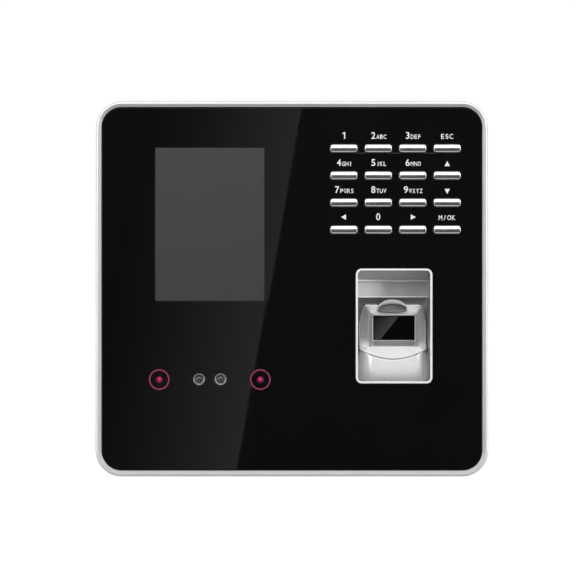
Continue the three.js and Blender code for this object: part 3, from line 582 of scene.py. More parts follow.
def sheet_steel():
    """Zinc-plated sheet with faint rolling marks and crystal spangle."""
    look = Look("sheet_steel", Metallic=1.0)
    rolled = look.noise(1.2, 4, (0.06, 1, 1))
    tone = look.tone(rolled, (0.48, 0.49, 0.50), (0.60, 0.61, 0.62))
    look.colour(look.blend(0.10, tone, look.cells(5.0), "SOFT_LIGHT"))
    look.rough(rolled, 0.28, 0.44)
    look.bump(rolled, 0.004)
    return look.material


def screw_steel():
    """Nickel-plated screws with fine machining marks."""
    look = Look("screw_steel", Metallic=1.0)
    marks = look.noise(0.25, 3, (1, 0.2, 1))
    look.colour(look.tone(marks, (0.42, 0.42, 0.43), (0.58, 0.58, 0.59)))
    look.rough(marks, 0.22, 0.38)
    look.bump(marks, 0.004)
    return look.material


def circuit_board():
    """Green solder mask over copper tracks, with tinned pads."""
    look = Look("circuit_board", Coat_Weight=0.3, Coat_Roughness=0.2)
    tracks = look.node("ShaderNodeTexBrick", offset=0.5)
    settings = {
        "Scale": 260.0,
        "Mortar Size": 0.03,
        "Brick Width": 0.7,
        "Row Height": 0.32,
        "Color1": (0.010, 0.085, 0.035),
        "Color2": (0.013, 0.105, 0.045),
        "Mortar": (0.035, 0.19, 0.075),
        "Vector": look.where((1, 0, 1)),
    }
    for socket, value in settings.items():
        look.feed(tracks.inputs[socket], value)
    pads = look.ramp(look.cells(2.4), [(0.12, (1, 1, 1)), (0.14, (0, 0, 0))])
    look.colour(look.blend(pads, tracks.outputs["Color"], (0.62, 0.60, 0.52)))
    look.gloss(3, 4, 0.3, 0.45)
    look.bump(tracks.outputs["Fac"], 0.02)
    return look.material


def striped_ribbon():
    """Flat flexible cable with its conductors showing through the film."""
    look = Look("ribbon_film", Coat_Weight=0.5, Coat_Roughness=0.1)
    lanes = look.bands("X", 0.5)
    look.colour(look.ramp(lanes, [(0.35, (0.72, 0.70, 0.64)), (0.65, (0.52, 0.50, 0.45))]))
    look.gloss(1, 3, 0.3, 0.45)
    look.bump(lanes, 0.02)
    return look.material


def lens_glass():
    """Coated front lens: dark blue-grey, with a painted sheen that pales it where it turns from the view.
    """
    look = Look("lens_glass", IOR=1.7, Coat_Weight=1.0, Coat_Roughness=0.02)
    # Painted sheen: the base colour pales as the surface turns away from the view.
    rim = look.node("ShaderNodeLayerWeight")
    rim.inputs["Blend"].default_value = 0.35
    stops = [(0.05, (0.055, 0.06, 0.075)), (0.6, (0.13, 0.14, 0.17))]
    look.colour(look.ramp(rim.outputs["Facing"], stops))
    look.gloss(0.6, 3, 0.02, 0.06)
    return look.material


def lamp_plastic():
    """Clear magenta lamp body, faintly lit."""
    look = Look("lamp_magenta", IOR=1.4, Emission_Color=(0.60, 0.03, 0.18, 1), Emission_Strength=0.3)
    look.tones(0.7, 3, (0.42, 0.012, 0.11), (0.50, 0.018, 0.13))
    look.gloss(0.4, 3, 0.3, 0.4)
    return look.material


MATERIALS = {
    "silver": silver_paint(),
    # the rim's inner step: a darker copy of its silver, painted shade
    "chamfer": chamfer_painted_shade(),
    "acrylic": black_acrylic(),
    "pane": display_pane(),
    "key": key_silver(),
    "bay": bay_silver(),
    "bay_rim": bright_rim(),
    # A darker copy of the bay's silver: painted shade on the cup's inside walls and in the finger stop's
    # hollow.
    "bay_painted_shade": grained("bay_painted_shade", (0.34, 0.34, 0.345), 0.4, 0.25, 0.002, 0.08, Metallic=0.75),
    "bare": grained("bare_plastic", (0.012, 0.012, 0.013), 0.55, 0.5, 0.008),
    "glass": sensor_glass(),
    "plastic": dark_plastic(),
    "steel": sheet_steel(),
    "screw": screw_steel(),
    "board": circuit_board(),
    "ribbon": striped_ribbon(),
    "lens": lens_glass(),
    "lamp": lamp_plastic(),
    "white_print": grained("white_print", (0.88, 0.88, 0.88), 0.45, 0.12, 0.002, 0.03),
    "magenta_print": grained("magenta_print", (0.28, 0.04, 0.095), 0.4, 0.12, 0.002, 0.06),
    "lens_metal": grained("lens_metal", (0.34, 0.34, 0.345), 0.34, 0.15, 0.003, 0.08, Metallic=0.9),
    "lens_black": grained("lens_black", (0.17, 0.17, 0.175), 0.42, 0.2, 0.004, Metallic=0.5),
    "silicone": grained("silicone", (0.26, 0.27, 0.28), 0.62, 0.3, 0.006),
    "nylon": grained("black_nylon", (0.018, 0.018, 0.019), 0.5, 0.3, 0.008),
    "green": grained("green_nylon", (0.03, 0.27, 0.07), 0.45, 0.3, 0.006),
    "relay": grained("relay_blue", (0.02, 0.06, 0.33), 0.38, 0.4, 0.004),
    "white": grained("white_nylon", (0.74, 0.73, 0.68), 0.5, 0.3, 0.006),
    "sheath": grained("cable_sheath", (0.014, 0.014, 0.015), 0.55, 0.25, 0.01),
    "polariser": grained("polariser", (0.035, 0.036, 0.042), 0.14, 0.5, 0.001, Coat_Weight=1.0),
}


# ---- front housing

# The pins that hold each board, as the depth of their tips and their places.
MAINBOARD_PINS = (20.6, ((-64, -56), (14, -56), (-64, 36), (2.5, 36)))
KEYPAD_PINS = (24.4, ((14.2, 18.4), (65.3, 18.4), (14.2, 58.8), (65.3, 58.8)))
CASE_SCREWS = tuple(f"case_screw_{number}" for number in (1, 2, 3, 4))
CASE_BOSS = (3.2, 10.3)  # radius, and depth of its tip
LENSES = ("camera_left", "camera_right")
LAMPS = ("infrared_lamp_left", "infrared_lamp_right")
LENS_HOLE, LAMP_HOLE = 2.6, 1.25  # radius of the holes in the black face

body_box = node_box("front_housing")
panel_box = node_box("front_panel")
display_box = node_box("display_window")
bay_box = grown(node_box("finger_bay"), -BAY_FLANGE)
prism_box = node_box("sensor_prism")
key_boxes = {name: grown(node_box(f"key_{name}"), -KEY_FLANGE) for name in KEY_NAMES}


def body_loop(inset):
    return rounded_loop(body_box, BODY_CORNER, inset, arc=20, flare=BODY_FLARE)


def seat_loop(margin):
    """Outline of the panel's seat in the rim, let out by a margin."""
    return rounded_loop(grown(panel_box, PANEL_SEAM), PANEL_CORNER + PANEL_SEAM, -margin, arc=20)


def front_housing():
    """Silver rim and deck, with the tongue, screw bosses and board pins behind."""
    shell = Shell()
    crest = body_box.front
    deck_back, deck_front = DECK
    round_width, round_depth = RIM_ROUND
    chamfer_width, chamfer_depth = RIM_CHAMFER
    outside = [(0.35, SPLIT_DEPTH), (0.1, SPLIT_DEPTH + 0.1), (0.0, SPLIT_DEPTH + 0.35)]
    for turn in quarter_turn(8):
        outside.append((round_width * (1 - math.cos(turn)), crest - round_depth * (1 - math.sin(turn))))
    rings = [shell.ring(body_loop(inset), depth) for inset, depth in outside]
    soft = 0.12  # rounding of the chamfer's two edges
    inside = [
        (chamfer_width + soft, crest),
        (chamfer_width - soft * 0.3, crest - soft * 0.5),
        (RIM_LEDGE + soft * 0.3, crest - chamfer_depth + soft * 0.5),
        (RIM_LEDGE, crest - chamfer_depth),
        (RIM_LEDGE, deck_front),
        (-DECK_OVERLAP, deck_front),
        (-DECK_OVERLAP, deck_back),
    ]
    rings += [shell.ring(seat_loop(margin), depth) for margin, depth in inside]
    outer_inset, inner_inset, tongue_back = TONGUE
    behind = [
        (inner_inset, deck_back),
        (inner_inset, tongue_back),
        (outer_inset, tongue_back),
        (outer_inset, SPLIT_DEPTH),
    ]
    rings += [shell.ring(body_loop(inset), depth) for inset, depth in behind]
    shell.sweep(rings, closed=True)
    deck_holes = [
        outline(grown(node_box("keypad_mat"), -0.3), 1.5),
        outline(grown(node_box("display_glass"), 0.3), 0.5),
        outline(grown(bay_box, 0.3), BAY_CORNER + 0.3),
    ]
    for name in LENSES + LAMPS:
        box = node_box(name)
        deck_holes.append(round_outline(centre(box), (box.right - box.left) / 2 + 0.3, 32))
    shell.plate(lambda m: seat_loop(m - DECK_OVERLAP + 0.1), deck_holes, deck_back, deck_front, 0.05)
    boss_radius, boss_tip = CASE_BOSS
    boss_root = deck_back + 0.1
    boss = [(0, boss_tip), (boss_radius, boss_tip), (boss_radius, boss_root), (0, boss_root)]
    for name in CASE_SCREWS:
        shell.turned(boss, centre(node_box(name)), 32)
    for tip, places in (MAINBOARD_PINS, KEYPAD_PINS):
        for place in places:
            shell.turned(pin_profile(tip), place, 16)
    per_band = len(rings[0])
    painted = len(outside) * per_band
    chamfer = 3 * per_band
    # The chamfer's three bands take slot 1, the painted shade; all faces further in take bare plastic.
    shell.slots[painted:] = [1] * chamfer + [2] * (len(shell.slots) - painted - chamfer)
    return add_skin("front_housing", shell, ["silver", "chamfer", "bare"])


def pin_profile(tip):
    """A board pin from the deck: a thick root, and a thinner end through the board."""
    thin, thick = 0.9, 1.7
    shoulder = tip + 2.5
    root = DECK[0] + 0.1
    end = [(0, tip), (thin - 0.2, tip), (thin, tip + 0.3), (thin, shoulder)]
    return end + [(thick, shoulder), (thick, root), (0, root)]


def front_panel():
    """Black face with its openings."""
    shell = Shell()
    holes = [
        outline(grown(display_box, 0.1), 0.6, arc=6),
        outline(grown(bay_box, KEY_GAP), BAY_CORNER + KEY_GAP, arc=12),
    ]
    holes += [outline(grown(box, KEY_GAP), KEY_CORNER + KEY_GAP) for box in key_boxes.values()]
    for names, radius in ((LENSES, LENS_HOLE), (LAMPS, LAMP_HOLE)):
        holes += [round_outline(centre(node_box(name)), radius) for name in names]
    shell.plate(outline(panel_box, PANEL_CORNER, arc=20), holes, panel_box.back, panel_box.front, 0.12)
    return add_skin("front_panel", shell, ["acrylic"])


def display_window():
    """Pane that ends just below the black face."""
    shell = Shell()
    shell.plate(outline(display_box, 0.5, arc=5), [], display_box.back, display_box.front - 0.03, 0.06)
    return add_skin("display_window", shell, ["pane"])


# ---- keys


def key_depth(share):
    """How far the cap stands below its crest, by the share of its height from its top edge down."""
    if share < KEY_CREST:
        fall, power = KEY_ABOVE
        return fall * (1 - share / KEY_CREST) ** power
    fall, power = KEY_BELOW
    return fall * ((share - KEY_CREST) / (1 - KEY_CREST)) ** power


def key(name):
    """A key: a cap that leans up towards its crest and falls away to a lip, a flange and a stem."""
    shell = Shell()
    box = grown(key_boxes[name], -KEY_INSET)
    box = box._replace(top=box.top + KEY_RAISE)
    node = node_box(f"key_{name}")
    height = box.top - box.bottom
    edge_round = 0.2
    ridge = 0.08  # half the width of the flat strip that the rings close on

    def depth_at(inset):
        def depth(x, z):
            edge = max(edge_round - inset, 0.0)
            fall = edge_round - math.sqrt(edge_round**2 - edge**2)
            return node.front - key_depth((box.top - z) / height) - fall

        return depth

    steps = 14
    stride = (height / 2 - edge_round - ridge) / steps
    insets = [edge_round * share for share in (0.0, 0.1, 0.3, 0.6, 1.0)]
    insets += [edge_round + stride * step for step in range(1, steps + 1)]
    loops = [rounded_loop(box, KEY_CORNER, inset, side_steps=2) for inset in insets]
    rings = [shell.ring(loops[0], KEY_CAP_BACK)]
    rings += [shell.ring(loop, depth_at(inset)) for loop, inset in zip(loops, insets)]
    shell.sweep(rings)
    shell.face(rings[-1])
    shell.face(rings[0])
    flange = grown(box, KEY_FLANGE + KEY_INSET)
    shell.plate(outline(flange, 0.6), [], KEY_FLANGE_BACK, KEY_CAP_BACK, 0.1)
    x, z = centre(box)
    stem = Box(x - 2.2, x + 2.2, z - 0.9, z + 0.9, node.back, KEY_FLANGE_BACK + 0.1)
    shell.plate(outline(stem, 0.2, arc=3), [], stem.back, stem.front, 0.1)
    return add_skin(f"key_{name}", shell, ["key"], 50, body=f"key_{name}")


# ---- printing on the panel

LEGENDS = {
    "1": ("1", ""), "2": ("2", "ABC"), "3": ("3", "DEF"), "escape": ("", "ESC"),
    "4": ("4", "GHI"), "5": ("5", "JKL"), "6": ("6", "MNO"), "7": ("7", "PQRS"),
    "8": ("8", "TUV"), "9": ("9", "WXYZ"), "0": ("0", ""), "ok": ("", "M/OK"),
}
# Angle, and how far right of and above the key's centre the arrow stands.
ARROWS = {
    "up": (90, 0.1, 4.65),
    "down": (-90, 0.1, 4.4),
    "left": (180, -0.15, 4.93),
    "right": (0, 0.28, 4.93),
}
ARROW_SHAPE = ((0.97, 0.0), (-0.97, 1.04), (-0.97, -1.04))
LAMP_RING = (4.0, 3.42)  # outer and inner radius
PRINT_THICKNESS = 0.03
PRINT_SUNK = 0.005  # how much of it lies in the panel
BASELINE = 3.74  # above a key's centre
DIGIT = (2.65, 1.6, 1.9)  # height, greatest width of a letter, and how far apart letters stand
SMALL = (1.68, 1.15, 1.38)
WORD = (1.9, 1.4, 1.68)
WORD_GAP = 0.35
WORD_SHIFT = 0.25  # a digit and its letters stand a little right of the key's centre


@functools.lru_cache(maxsize=None)
def glyph(character):
    """A flat letter as (points, faces, width), stretched to stand from z = 0 to z = 1."""
    if character == "1":
        flag = [(0.0, 0.66), (0.24, 0.80)]
        points = flag + [(0.24, 0.0), (0.40, 0.0), (0.40, 1.0), (0.26, 1.0), (0.0, 0.83)]
        return points, [[0, 1, 4, 5, 6], [1, 2, 3, 4]], 0.40
    curve = bpy.data.curves.new("letter", "FONT")
    curve.body = character
    curve.offset = 0.012
    curve.resolution_u = 6
    holder = new_object("letter", curve)
    bpy.context.view_layer.update()
    mesh = bpy.data.meshes.new_from_object(holder.evaluated_get(bpy.context.evaluated_depsgraph_get()))
    left = min(v.co.x for v in mesh.vertices)
    low = min(v.co.y for v in mesh.vertices)
    tall = max(v.co.y for v in mesh.vertices) - low
    points = [((v.co.x - left) / tall, (v.co.y - low) / tall) for v in mesh.vertices]
    faces = [list(polygon.vertices) for polygon in mesh.polygons]
    bpy.data.objects.remove(holder)
    bpy.data.curves.remove(curve)
    bpy.data.meshes.remove(mesh)
    return points, faces, max(x for x, z in points)


def letters(text, style):
    """Evenly spaced flat letters as (points, faces) parts on a baseline at z = 0, and their width."""
    height, widest, pitch = style
    parts = []
    for place, character in enumerate(text):
        points, faces, width = glyph(character)
        stretch = min(height, widest / width)
        start = place * pitch + (widest - width * stretch) / 2
        parts.append(([(start + x * stretch, z * height) for x, z in points], faces))
    return parts, (len(text) - 1) * pitch + widest


def flat_print(shell, points, faces):
    """Adds a closed, very thin print on the panel: a front, a back and the walls round its outline."""
    front = panel_box.front + PRINT_THICKNESS - PRINT_SUNK
    first = len(shell.points)
    count = len(points)
    for depth in (front, front - PRINT_THICKNESS):
        shell.points += [(x, depth, z) for x, z in points]
    edges = {}
    for face in faces:
        shell.face([first + index for index in face])
        shell.face([first + count + index for index in reversed(face)])
        for start, end in zip(face, face[1:] + face[:1]):
            edges[(start, end)] = (end, start)
    for (start, end), back in edges.items():
        if back not in edges:
            shell.face([first + start, first + end, first + count + end, first + count + start])


def key_legends():
    """White digits, letters and arrows printed above the keys."""
    shell = Shell()
    for name, (digit, small) in LEGENDS.items():
        x, z = centre(key_boxes[name])
        words = [letters(digit, DIGIT)] if digit else []
        if small:
            words.append(letters(small, SMALL if digit else WORD))
        total = sum(width for _, width in words) + WORD_GAP * (len(words) - 1)
        start = x - total / 2 + (WORD_SHIFT if len(words) > 1 else 0.0)
        for parts, width in words:
            for points, faces in parts:
                placed = [(start + u, z + BASELINE + v) for u, v in points]
                flat_print(shell, placed, faces)
            start += width + WORD_GAP
    for name, (angle, right, height) in ARROWS.items():
        x, z = centre(key_boxes[name])
        turn = math.radians(angle)
        corners = []
        for u, v in ARROW_SHAPE:
            across = u * math.cos(turn) - v * math.sin(turn)
            up = u * math.sin(turn) + v * math.cos(turn)
            corners.append((x + right + across, z + height + up))
        flat_print(shell, corners, [[0, 1, 2]])
    return add_piece("key_legends", shell, ["white_print"], sharp=80)


def lamp_rings():
    """Magenta circles printed round the two lamps."""
    shell = Shell()
    sides = 72
    outer, inner = LAMP_RING
    for name in LAMPS:
        place = centre(node_box(name))
        points = circle_loop(place, outer, sides) + circle_loop(place, inner, sides)
        afters = [(index + 1) % sides for index in range(sides)]
        faces = [[index, after, sides + after, sides + index] for index, after in enumerate(afters)]
        flat_print(shell, points, faces)
    return add_piece("lamp_rings", shell, ["magenta_print"], sharp=80)


# ---- cameras and lamps

# The camera's glass, black cone and metal ring, as (radius, depth behind the front) points.
LENS_PARTS = (
    ((0.0, 0.45), (0.45, 0.49), (0.85, 0.6), (1.2, 0.8), (1.3, 0.95)),
    ((1.38, 0.95), (1.42, 0.75), (1.55, 0.72), (1.58, 0.5), (1.72, 0.46)),
    ((1.78, 0.16), (1.95, 0.03), (2.15, 0.0), (2.32, 0.07), (2.4, 0.25)),
)
LENS_RADIUS = 2.4
LENS_FOOT = (31.0, 30.6)  # depths where the barrel starts to widen and where its flange starts
LAMP_RADIUS = 0.84


def camera_unit(name):
    """Turned lens barrel with a stepped black cone and a domed front glass."""
    shell = Shell()
    box = node_box(name)
    base = (box.right - box.left) / 2
    profile, slots = [], []
    for slot, part in enumerate(LENS_PARTS):
        profile += [(radius, box.front - behind) for radius, behind in part]
        slots += [slot] * len(part)
    barrel_back, flange_front = LENS_FOOT
    profile += [(LENS_RADIUS, barrel_back), (base, flange_front), (base, box.back), (0.0, box.back)]
    slots += [2] * 3
    shell.turned(profile, centre(box), 64, slots)
    return add_skin(name, shell, ["lens", "lens_black", "lens_metal"], 50)


def lamp_unit(name):
    """Domed lamp whose tip ends just below the panel's face."""
    shell = Shell()
    box = node_box(name)
    base = (box.right - box.left) / 2
    flange = box.back + 1.2
    profile = []
    for turn in quarter_turn(8):
        profile.append((LAMP_RADIUS * math.sin(turn), box.front - LAMP_RADIUS * (1 - math.cos(turn))))
    profile += [(LAMP_RADIUS, box.back + 2.3), (LAMP_RADIUS + 0.1, flange), (base, flange)]
    profile += [(base, box.back), (0.0, box.back)]
    shell.turned(profile, centre(box), 40)
    return add_skin(name, shell, ["lamp"], 50)


# ---- finger bay and sensor

bay_x, bay_z = centre(bay_box)
bay_half = (bay_box.right - bay_box.left) / 2 - BAY_RIM  # half the width inside the rim

# Depths are measured from the wall, and heights and widths from the bay's centre.
BAY_FLOOR = 22.2
WALL_DRAFT = 0.45  # how far the bay's side walls lean in by the time they reach the sensor
TRUNK = (11.0, 8.0)  # half the width and height of the sensor's body, which goes through the bay's floor
HEAD_BACK = 25.4
HEAD_CREST = 28.1
HEAD_TOP, HEAD_TOP_HALF, HEAD_TOP_ROUND = 8.3, 11.5, 1.3  # top edge, half its width, corner radius
HEAD_LOW, HEAD_LOW_HALF, HEAD_LOW_ROUND = -9.4, 13.2, 0.5
HEAD_BOW = -13.1  # where the lower edge ends in the middle
HEAD_WIDE = 1.0  # the head is at its widest from here down
HEAD_FLAT = (0.4, 8.7, 4.4, -8.3)  # the flat round the window: its middle in x, half width, top and bottom
HEAD_STEP = (0.5, 1.5)  # how far the head drops beside the flat, and over what width
FACET_SLOPES = (0.33, 0.27)  # beside the flat and above it
APRON_SLOPE = 0.36
RAMP_BACK, RAMP_TOP = 21.9, -8.0  # the part that is hidden behind the head
RAMP_FLOOR = 25.2  # behind the sensor head
RAMP_DROP = 0.34  # from the head's lower edge to where the ramp starts
RAMP_LIP = (31.5, -21.3)  # depth and height of its lower end
RAMP_GROOVE = (3.4, 1.3)  # how wide and how deep the ramp falls away to each side wall
BROW_TURN = (2.0, 0.27, 4.0)  # start to the left of the middle, slope, and the width that it sets in over
BROW_FACE = (23.0, 32.0)  # depths that are turned
# The brow's side profile, as (depth, height, corner radius).
BROW = (
    (21.9, 10.8, 0),
    (26.3, 10.8, 0.25),
    (26.62, 11.0, 0.15),
    (26.25, 11.45, 0),
    (26.3, 16.9, 0.1),
    (26.9, 17.15, 0.12),
    (26.72, 17.95, 0.08),
    (32.9, 21.2, 0),
    (32.9, 21.6, 0),
    (21.9, 21.6, 0),
)
# Finger stop: lens-shaped loops as (half width, rise, sink, depth behind the front).
STOP_FRONT = 29.2
STOP_MIDDLE = (-0.25, 6.35)  # x and height
STOP_BAND = (
    (5.95, 4.0, 1.0, 2.8),
    (5.95, 4.0, 1.0, 1.2),
    (5.90, 3.85, 0.96, 0.65),
    (5.80, 3.5, 0.92, 0.17),
    (5.72, 2.7, 0.88, 0.0),
    (5.60, 2.15, 0.84, 0.08),
)
STOP_HOLLOW = ((5.5, 2.0, 0.8, 0.4), (5.35, 1.9, 0.7, 0.95), (4.2, 1.5, 0.5, 1.0))

window_opening = Box(bay_x - 7.72, bay_x + 8.55, bay_z - 8.1, bay_z + 3.9, 0, 0)


def unit(value):
    """A value held between 0 and 1."""
    return min(max(value, 0.0), 1.0)


def bay_loop(inset):
    return rounded_loop(bay_box, BAY_CORNER, inset, arc=12)


def trunk_outline(margin, corner):
    half_width, half_height = TRUNK
    box = Box(bay_x - half_width, bay_x + half_width, bay_z - half_height, bay_z + half_height, 0, 0)
    return outline(grown(box, margin), corner, arc=3)


def bay_profile(corners):
    """A side profile in (depth, height) with rounded corners, moved to the bay's place."""
    return [(depth, bay_z + height) for depth, height in filleted(corners)]


def brow_turn(x, depth):
    """How far the left half of the brow's face is turned outwards."""
    start, slope, ease = BROW_TURN
    nearest, furthest = BROW_FACE
    if not nearest <= depth <= furthest:
        return 0.0
    reach = max(bay_x - start - x, 0.0)
    return slope * reach**2 / (reach + ease)


def bow_height(x):
    """The lower edge of the sensor head at x."""
    share = unit(abs(x - bay_x) / (HEAD_LOW_HALF - HEAD_LOW_ROUND))
    return HEAD_LOW + (HEAD_BOW - HEAD_LOW) * (1 - share**2)


def ramp_profile(x):
    """Side profile of the ramp at x, from just under the head's edge out to the rim."""
    top = bow_height(x)
    start = head_depth(x, bay_z + top) - RAMP_DROP
    lip_depth, lip = RAMP_LIP
    points = [(RAMP_BACK, RAMP_TOP), (RAMP_FLOOR, RAMP_TOP)]
    points += [(RAMP_FLOOR, top + 0.35), (start - 0.3, top + 0.3)]
    steps = 12
    for step in range(steps + 1):
        down = step / steps
        rise = 1.25 * down - 0.25 * down**4
        points.append((start + (lip_depth - start) * rise - ramp_groove(x), top + (lip - top) * down))
    points += [(RAMP_FLOOR, lip), (RAMP_BACK, lip)]
    return [(depth, bay_z + height) for depth, height in points]


def ramp_groove(x):
    """How far the ramp has fallen away near a side wall."""
    width, fall = RAMP_GROOVE
    from_wall = bay_half - WALL_DRAFT - abs(x - bay_x)
    return fall * unit(1 - from_wall / width) ** 2.5


def paint_rim(shell, depth, slot):
    """Gives a slot to the faces that lie wholly further out than a depth."""
    for index, face in enumerate(shell.faces):
        if min(shell.points[corner][1] for corner in face) > depth:
            shell.slots[index] = slot


def paint_wall_shade(shell, slot):
    """Gives the cup's inside walls the slot of painted shade, a darker silver than the brow and the ramp.
    """
    for index, face in enumerate(shell.faces):
        corners = [shell.points[corner] for corner in face]
        depths = [depth for x, depth, z in corners]
        within = max(abs(x - bay_x) for x, depth, z in corners) < bay_half + 0.02
        if within and min(depths) > BAY_FLOOR and max(depths) - min(depths) > 1.0:
            shell.slots[index] = slot


def finger_bay():
    """Silver cup: bright rim, leaning walls in painted shade, the brow above the sensor and the scooped
    ramp below it.
    """
    shell = Shell()
    node = node_box("finger_bay")
    flange_back, flange_front = 27.3, 28.8
    corners = [
        (0.0, node.back, 0.3),
        (0.0, flange_back, 0),
        (-BAY_FLANGE, flange_back, 0.2),
        (-BAY_FLANGE, flange_front, 0.2),
        (0.0, flange_front, 0),
        (0.0, node.front, 0.34),
        (BAY_RIM, node.front, 0.32),
        (BAY_RIM + WALL_DRAFT, 26.4, 0),
        (BAY_RIM + WALL_DRAFT, BAY_FLOOR, 0),
        (3.0, BAY_FLOOR, 0),
        (3.0, node.back, 0),
    ]
    rings = [shell.ring(bay_loop(inset), depth) for inset, depth in filleted(corners)]
    shell.sweep(rings, closed=True)
    paint_wall_shade(shell, 2)
    paint_rim(shell, node.front - 0.5, 1)
    shell.plate(lambda m: bay_loop(2.9 - m), [trunk_outline(0.3, 0.3)], node.back, BAY_FLOOR, 0.05)
    reach = bay_half - WALL_DRAFT + 0.1  # the brow ends a little inside the walls
    brow = bay_profile(BROW)
    places = [bay_x + reach * (2 * step / 12 - 1) for step in range(13)]
    shell.stations(lambda x: [(depth + brow_turn(x, depth), z) for depth, z in brow], places)
    reach += 0.05
    places = [bay_x + reach * math.sin(math.pi / 2 * (2 * step / 48 - 1)) for step in range(49)]
    shell.stations(ramp_profile, places)
    return add_skin("finger_bay", shell, ["bay", "bay_rim", "bay_painted_shade"], 40)


def head_loop(arc, side_steps):
    """The sensor head's outline, point for point with the loop round its window."""
    def arc_points(x, z, radius, start):
        turns = quarter_turn(arc, start)
        return [(bay_x + x + radius * math.cos(a), bay_z + z + radius * math.sin(a)) for a in turns]

    top_x, shoulder = HEAD_TOP_HALF - HEAD_TOP_ROUND, HEAD_TOP - HEAD_TOP_ROUND
    low_x, low_z = HEAD_LOW_HALF - HEAD_LOW_ROUND, HEAD_LOW + HEAD_LOW_ROUND
    corners = [
        arc_points(low_x, low_z, HEAD_LOW_ROUND, -math.pi / 2),
        arc_points(top_x, shoulder, HEAD_TOP_ROUND, 0),
        arc_points(-top_x, shoulder, HEAD_TOP_ROUND, math.pi / 2),
        arc_points(-low_x, low_z, HEAD_LOW_ROUND, math.pi),
    ]
    shaped = []
    for x, z in with_side_points(corners, side_steps):
        across, up = x - bay_x, z - bay_z
        if up <= HEAD_LOW + HEAD_LOW_ROUND / 2:
            up += bow_height(x) - HEAD_LOW
        elif abs(across) > HEAD_TOP_HALF - 0.01 and up < shoulder:
            share = unit((shoulder - up) / (shoulder - HEAD_WIDE))
            across = math.copysign(HEAD_TOP_HALF + (HEAD_LOW_HALF - HEAD_TOP_HALF) * share, across)
        shaped.append((bay_x + across, bay_z + up))
    return shaped


def head_depth(x, z):
    """Depth of the sensor head's front: facets that fall away from the flat, over an apron that juts."""
    middle, half, top, bottom = HEAD_FLAT
    step_fall, step_width = HEAD_STEP
    side_slope, top_slope = FACET_SLOPES
    up = z - bay_z
    beside = max(abs(x - bay_x - middle) - half, 0.0)
    off_flat = min(beside, step_width) / step_width
    dish = 0.011 * off_flat * (up - 1.0) ** 2
    low = unit((-5.0 - up) / 5.0)
    flattening = 1 - 0.75 * low * low * (3 - 2 * low)
    facet = max(side_slope * beside, top_slope * max(up - top, 0.0)) * flattening
    return HEAD_CREST - facet + dish - step_fall * off_flat + APRON_SLOPE * max(bottom - up, 0.0)


def sensor_housing():
    """Moulded head round the glass, its finger stop and the trunk behind."""
    shell = Shell()
    arc, side_steps = 6, 16
    outer = head_loop(arc, side_steps)

    def window_loop(margin):
        return rounded_loop(window_opening, 0.5, -margin, arc, side_steps)

    inner = window_loop(0.0)

    def between(share):
        return [(a + (c - a) * share, b + (d - b) * share) for (a, b), (c, d) in zip(inner, outer)]

    rings = [
        shell.ring(inner, 26.0),
        shell.ring(inner, HEAD_CREST - 0.2),
        shell.ring(window_loop(0.05), HEAD_CREST - 0.05),
        shell.ring(window_loop(0.14), HEAD_CREST),
    ]
    steps = 13
    for step in range(1, steps + 1):
        rings.append(shell.ring(between(0.18 + 0.74 * step / steps), head_depth))
    for share, drop in ((0.96, 0.03), (0.98, 0.1), (1.0, 0.26), (1.0, 0.6)):
        rings.append(shell.ring(between(share), lambda x, z, drop=drop: head_depth(x, z) - drop))
    rings.append(shell.ring(outer, HEAD_BACK))
    rings.append(shell.ring(inner, HEAD_BACK))
    shell.sweep(rings, closed=True)
    pocket = outline(grown(prism_box, 0.3), 0.4, arc=3)
    back = node_box("sensor_housing").back
    shell.plate(trunk_outline(0.0, 0.4), [pocket], back, HEAD_BACK + 0.2, 0.1)
    ledge = bay_profile([(25.5, -8.4, 0), (25.5, -5.7, 0), (27.5, -5.7, 0.2), (27.3, -8.4, 0)])
    shell.stations(lambda x: ledge, [window_opening.left - 0.1, bay_x, window_opening.right + 0.1])
    finger_stop(shell)
    return add_skin("sensor_housing", shell, ["bay", "bay_painted_shade"], 38)


def finger_stop(shell):
    """Arch above the glass: a thick bright band round a lens-shaped hollow darkened with painted shade."""
    band = [shell.ring(lens_loop(*size), STOP_FRONT - behind) for *size, behind in STOP_BAND]
    hollow = [shell.ring(lens_loop(*size), STOP_FRONT - behind) for *size, behind in STOP_HOLLOW]
    shell.sweep(band)
    # The hollow takes slot 1, the painted shade.
    shell.sweep([band[-1]] + hollow, slot=1)
    shell.face(band[0])
    shell.face(hollow[-1], 1)


def lens_loop(reach, rise, sink, sides=40):
    """A lens-shaped loop round the finger stop's middle: two half ellipses on one line."""
    right, up = STOP_MIDDLE
    x, base = bay_x + right, bay_z + up
    turns = [math.pi * step / sides for step in range(sides + 1)]
    over = [(x + reach * math.cos(a), base + rise * math.sin(a)) for a in turns]
    under = [(x - reach * math.cos(a), base - sink * math.sin(a)) for a in turns[1:-1]]
    return over + under


def sensor_prism():
    """Glass prism with a flat polished window and a slanted face behind."""
    shell = Shell()
    box = prism_box
    corners = [
        (box.back, box.top - 0.5, 0),
        (box.front - 2, box.bottom, 0),
        (box.front, box.bottom, 0.15),
        (box.front, box.top, 0.15),
        (box.back, box.top, 0.1),
    ]
    profile = filleted(corners, 3)
    shell.stations(lambda x: profile, [box.left, box.left + 0.1, box.right - 0.1, box.right])
    return add_skin("sensor_prism", shell, ["glass"])


# ---- CAD shapes that stay

CARRIED_SHARP = 32  # degrees; a greater turn is a real edge
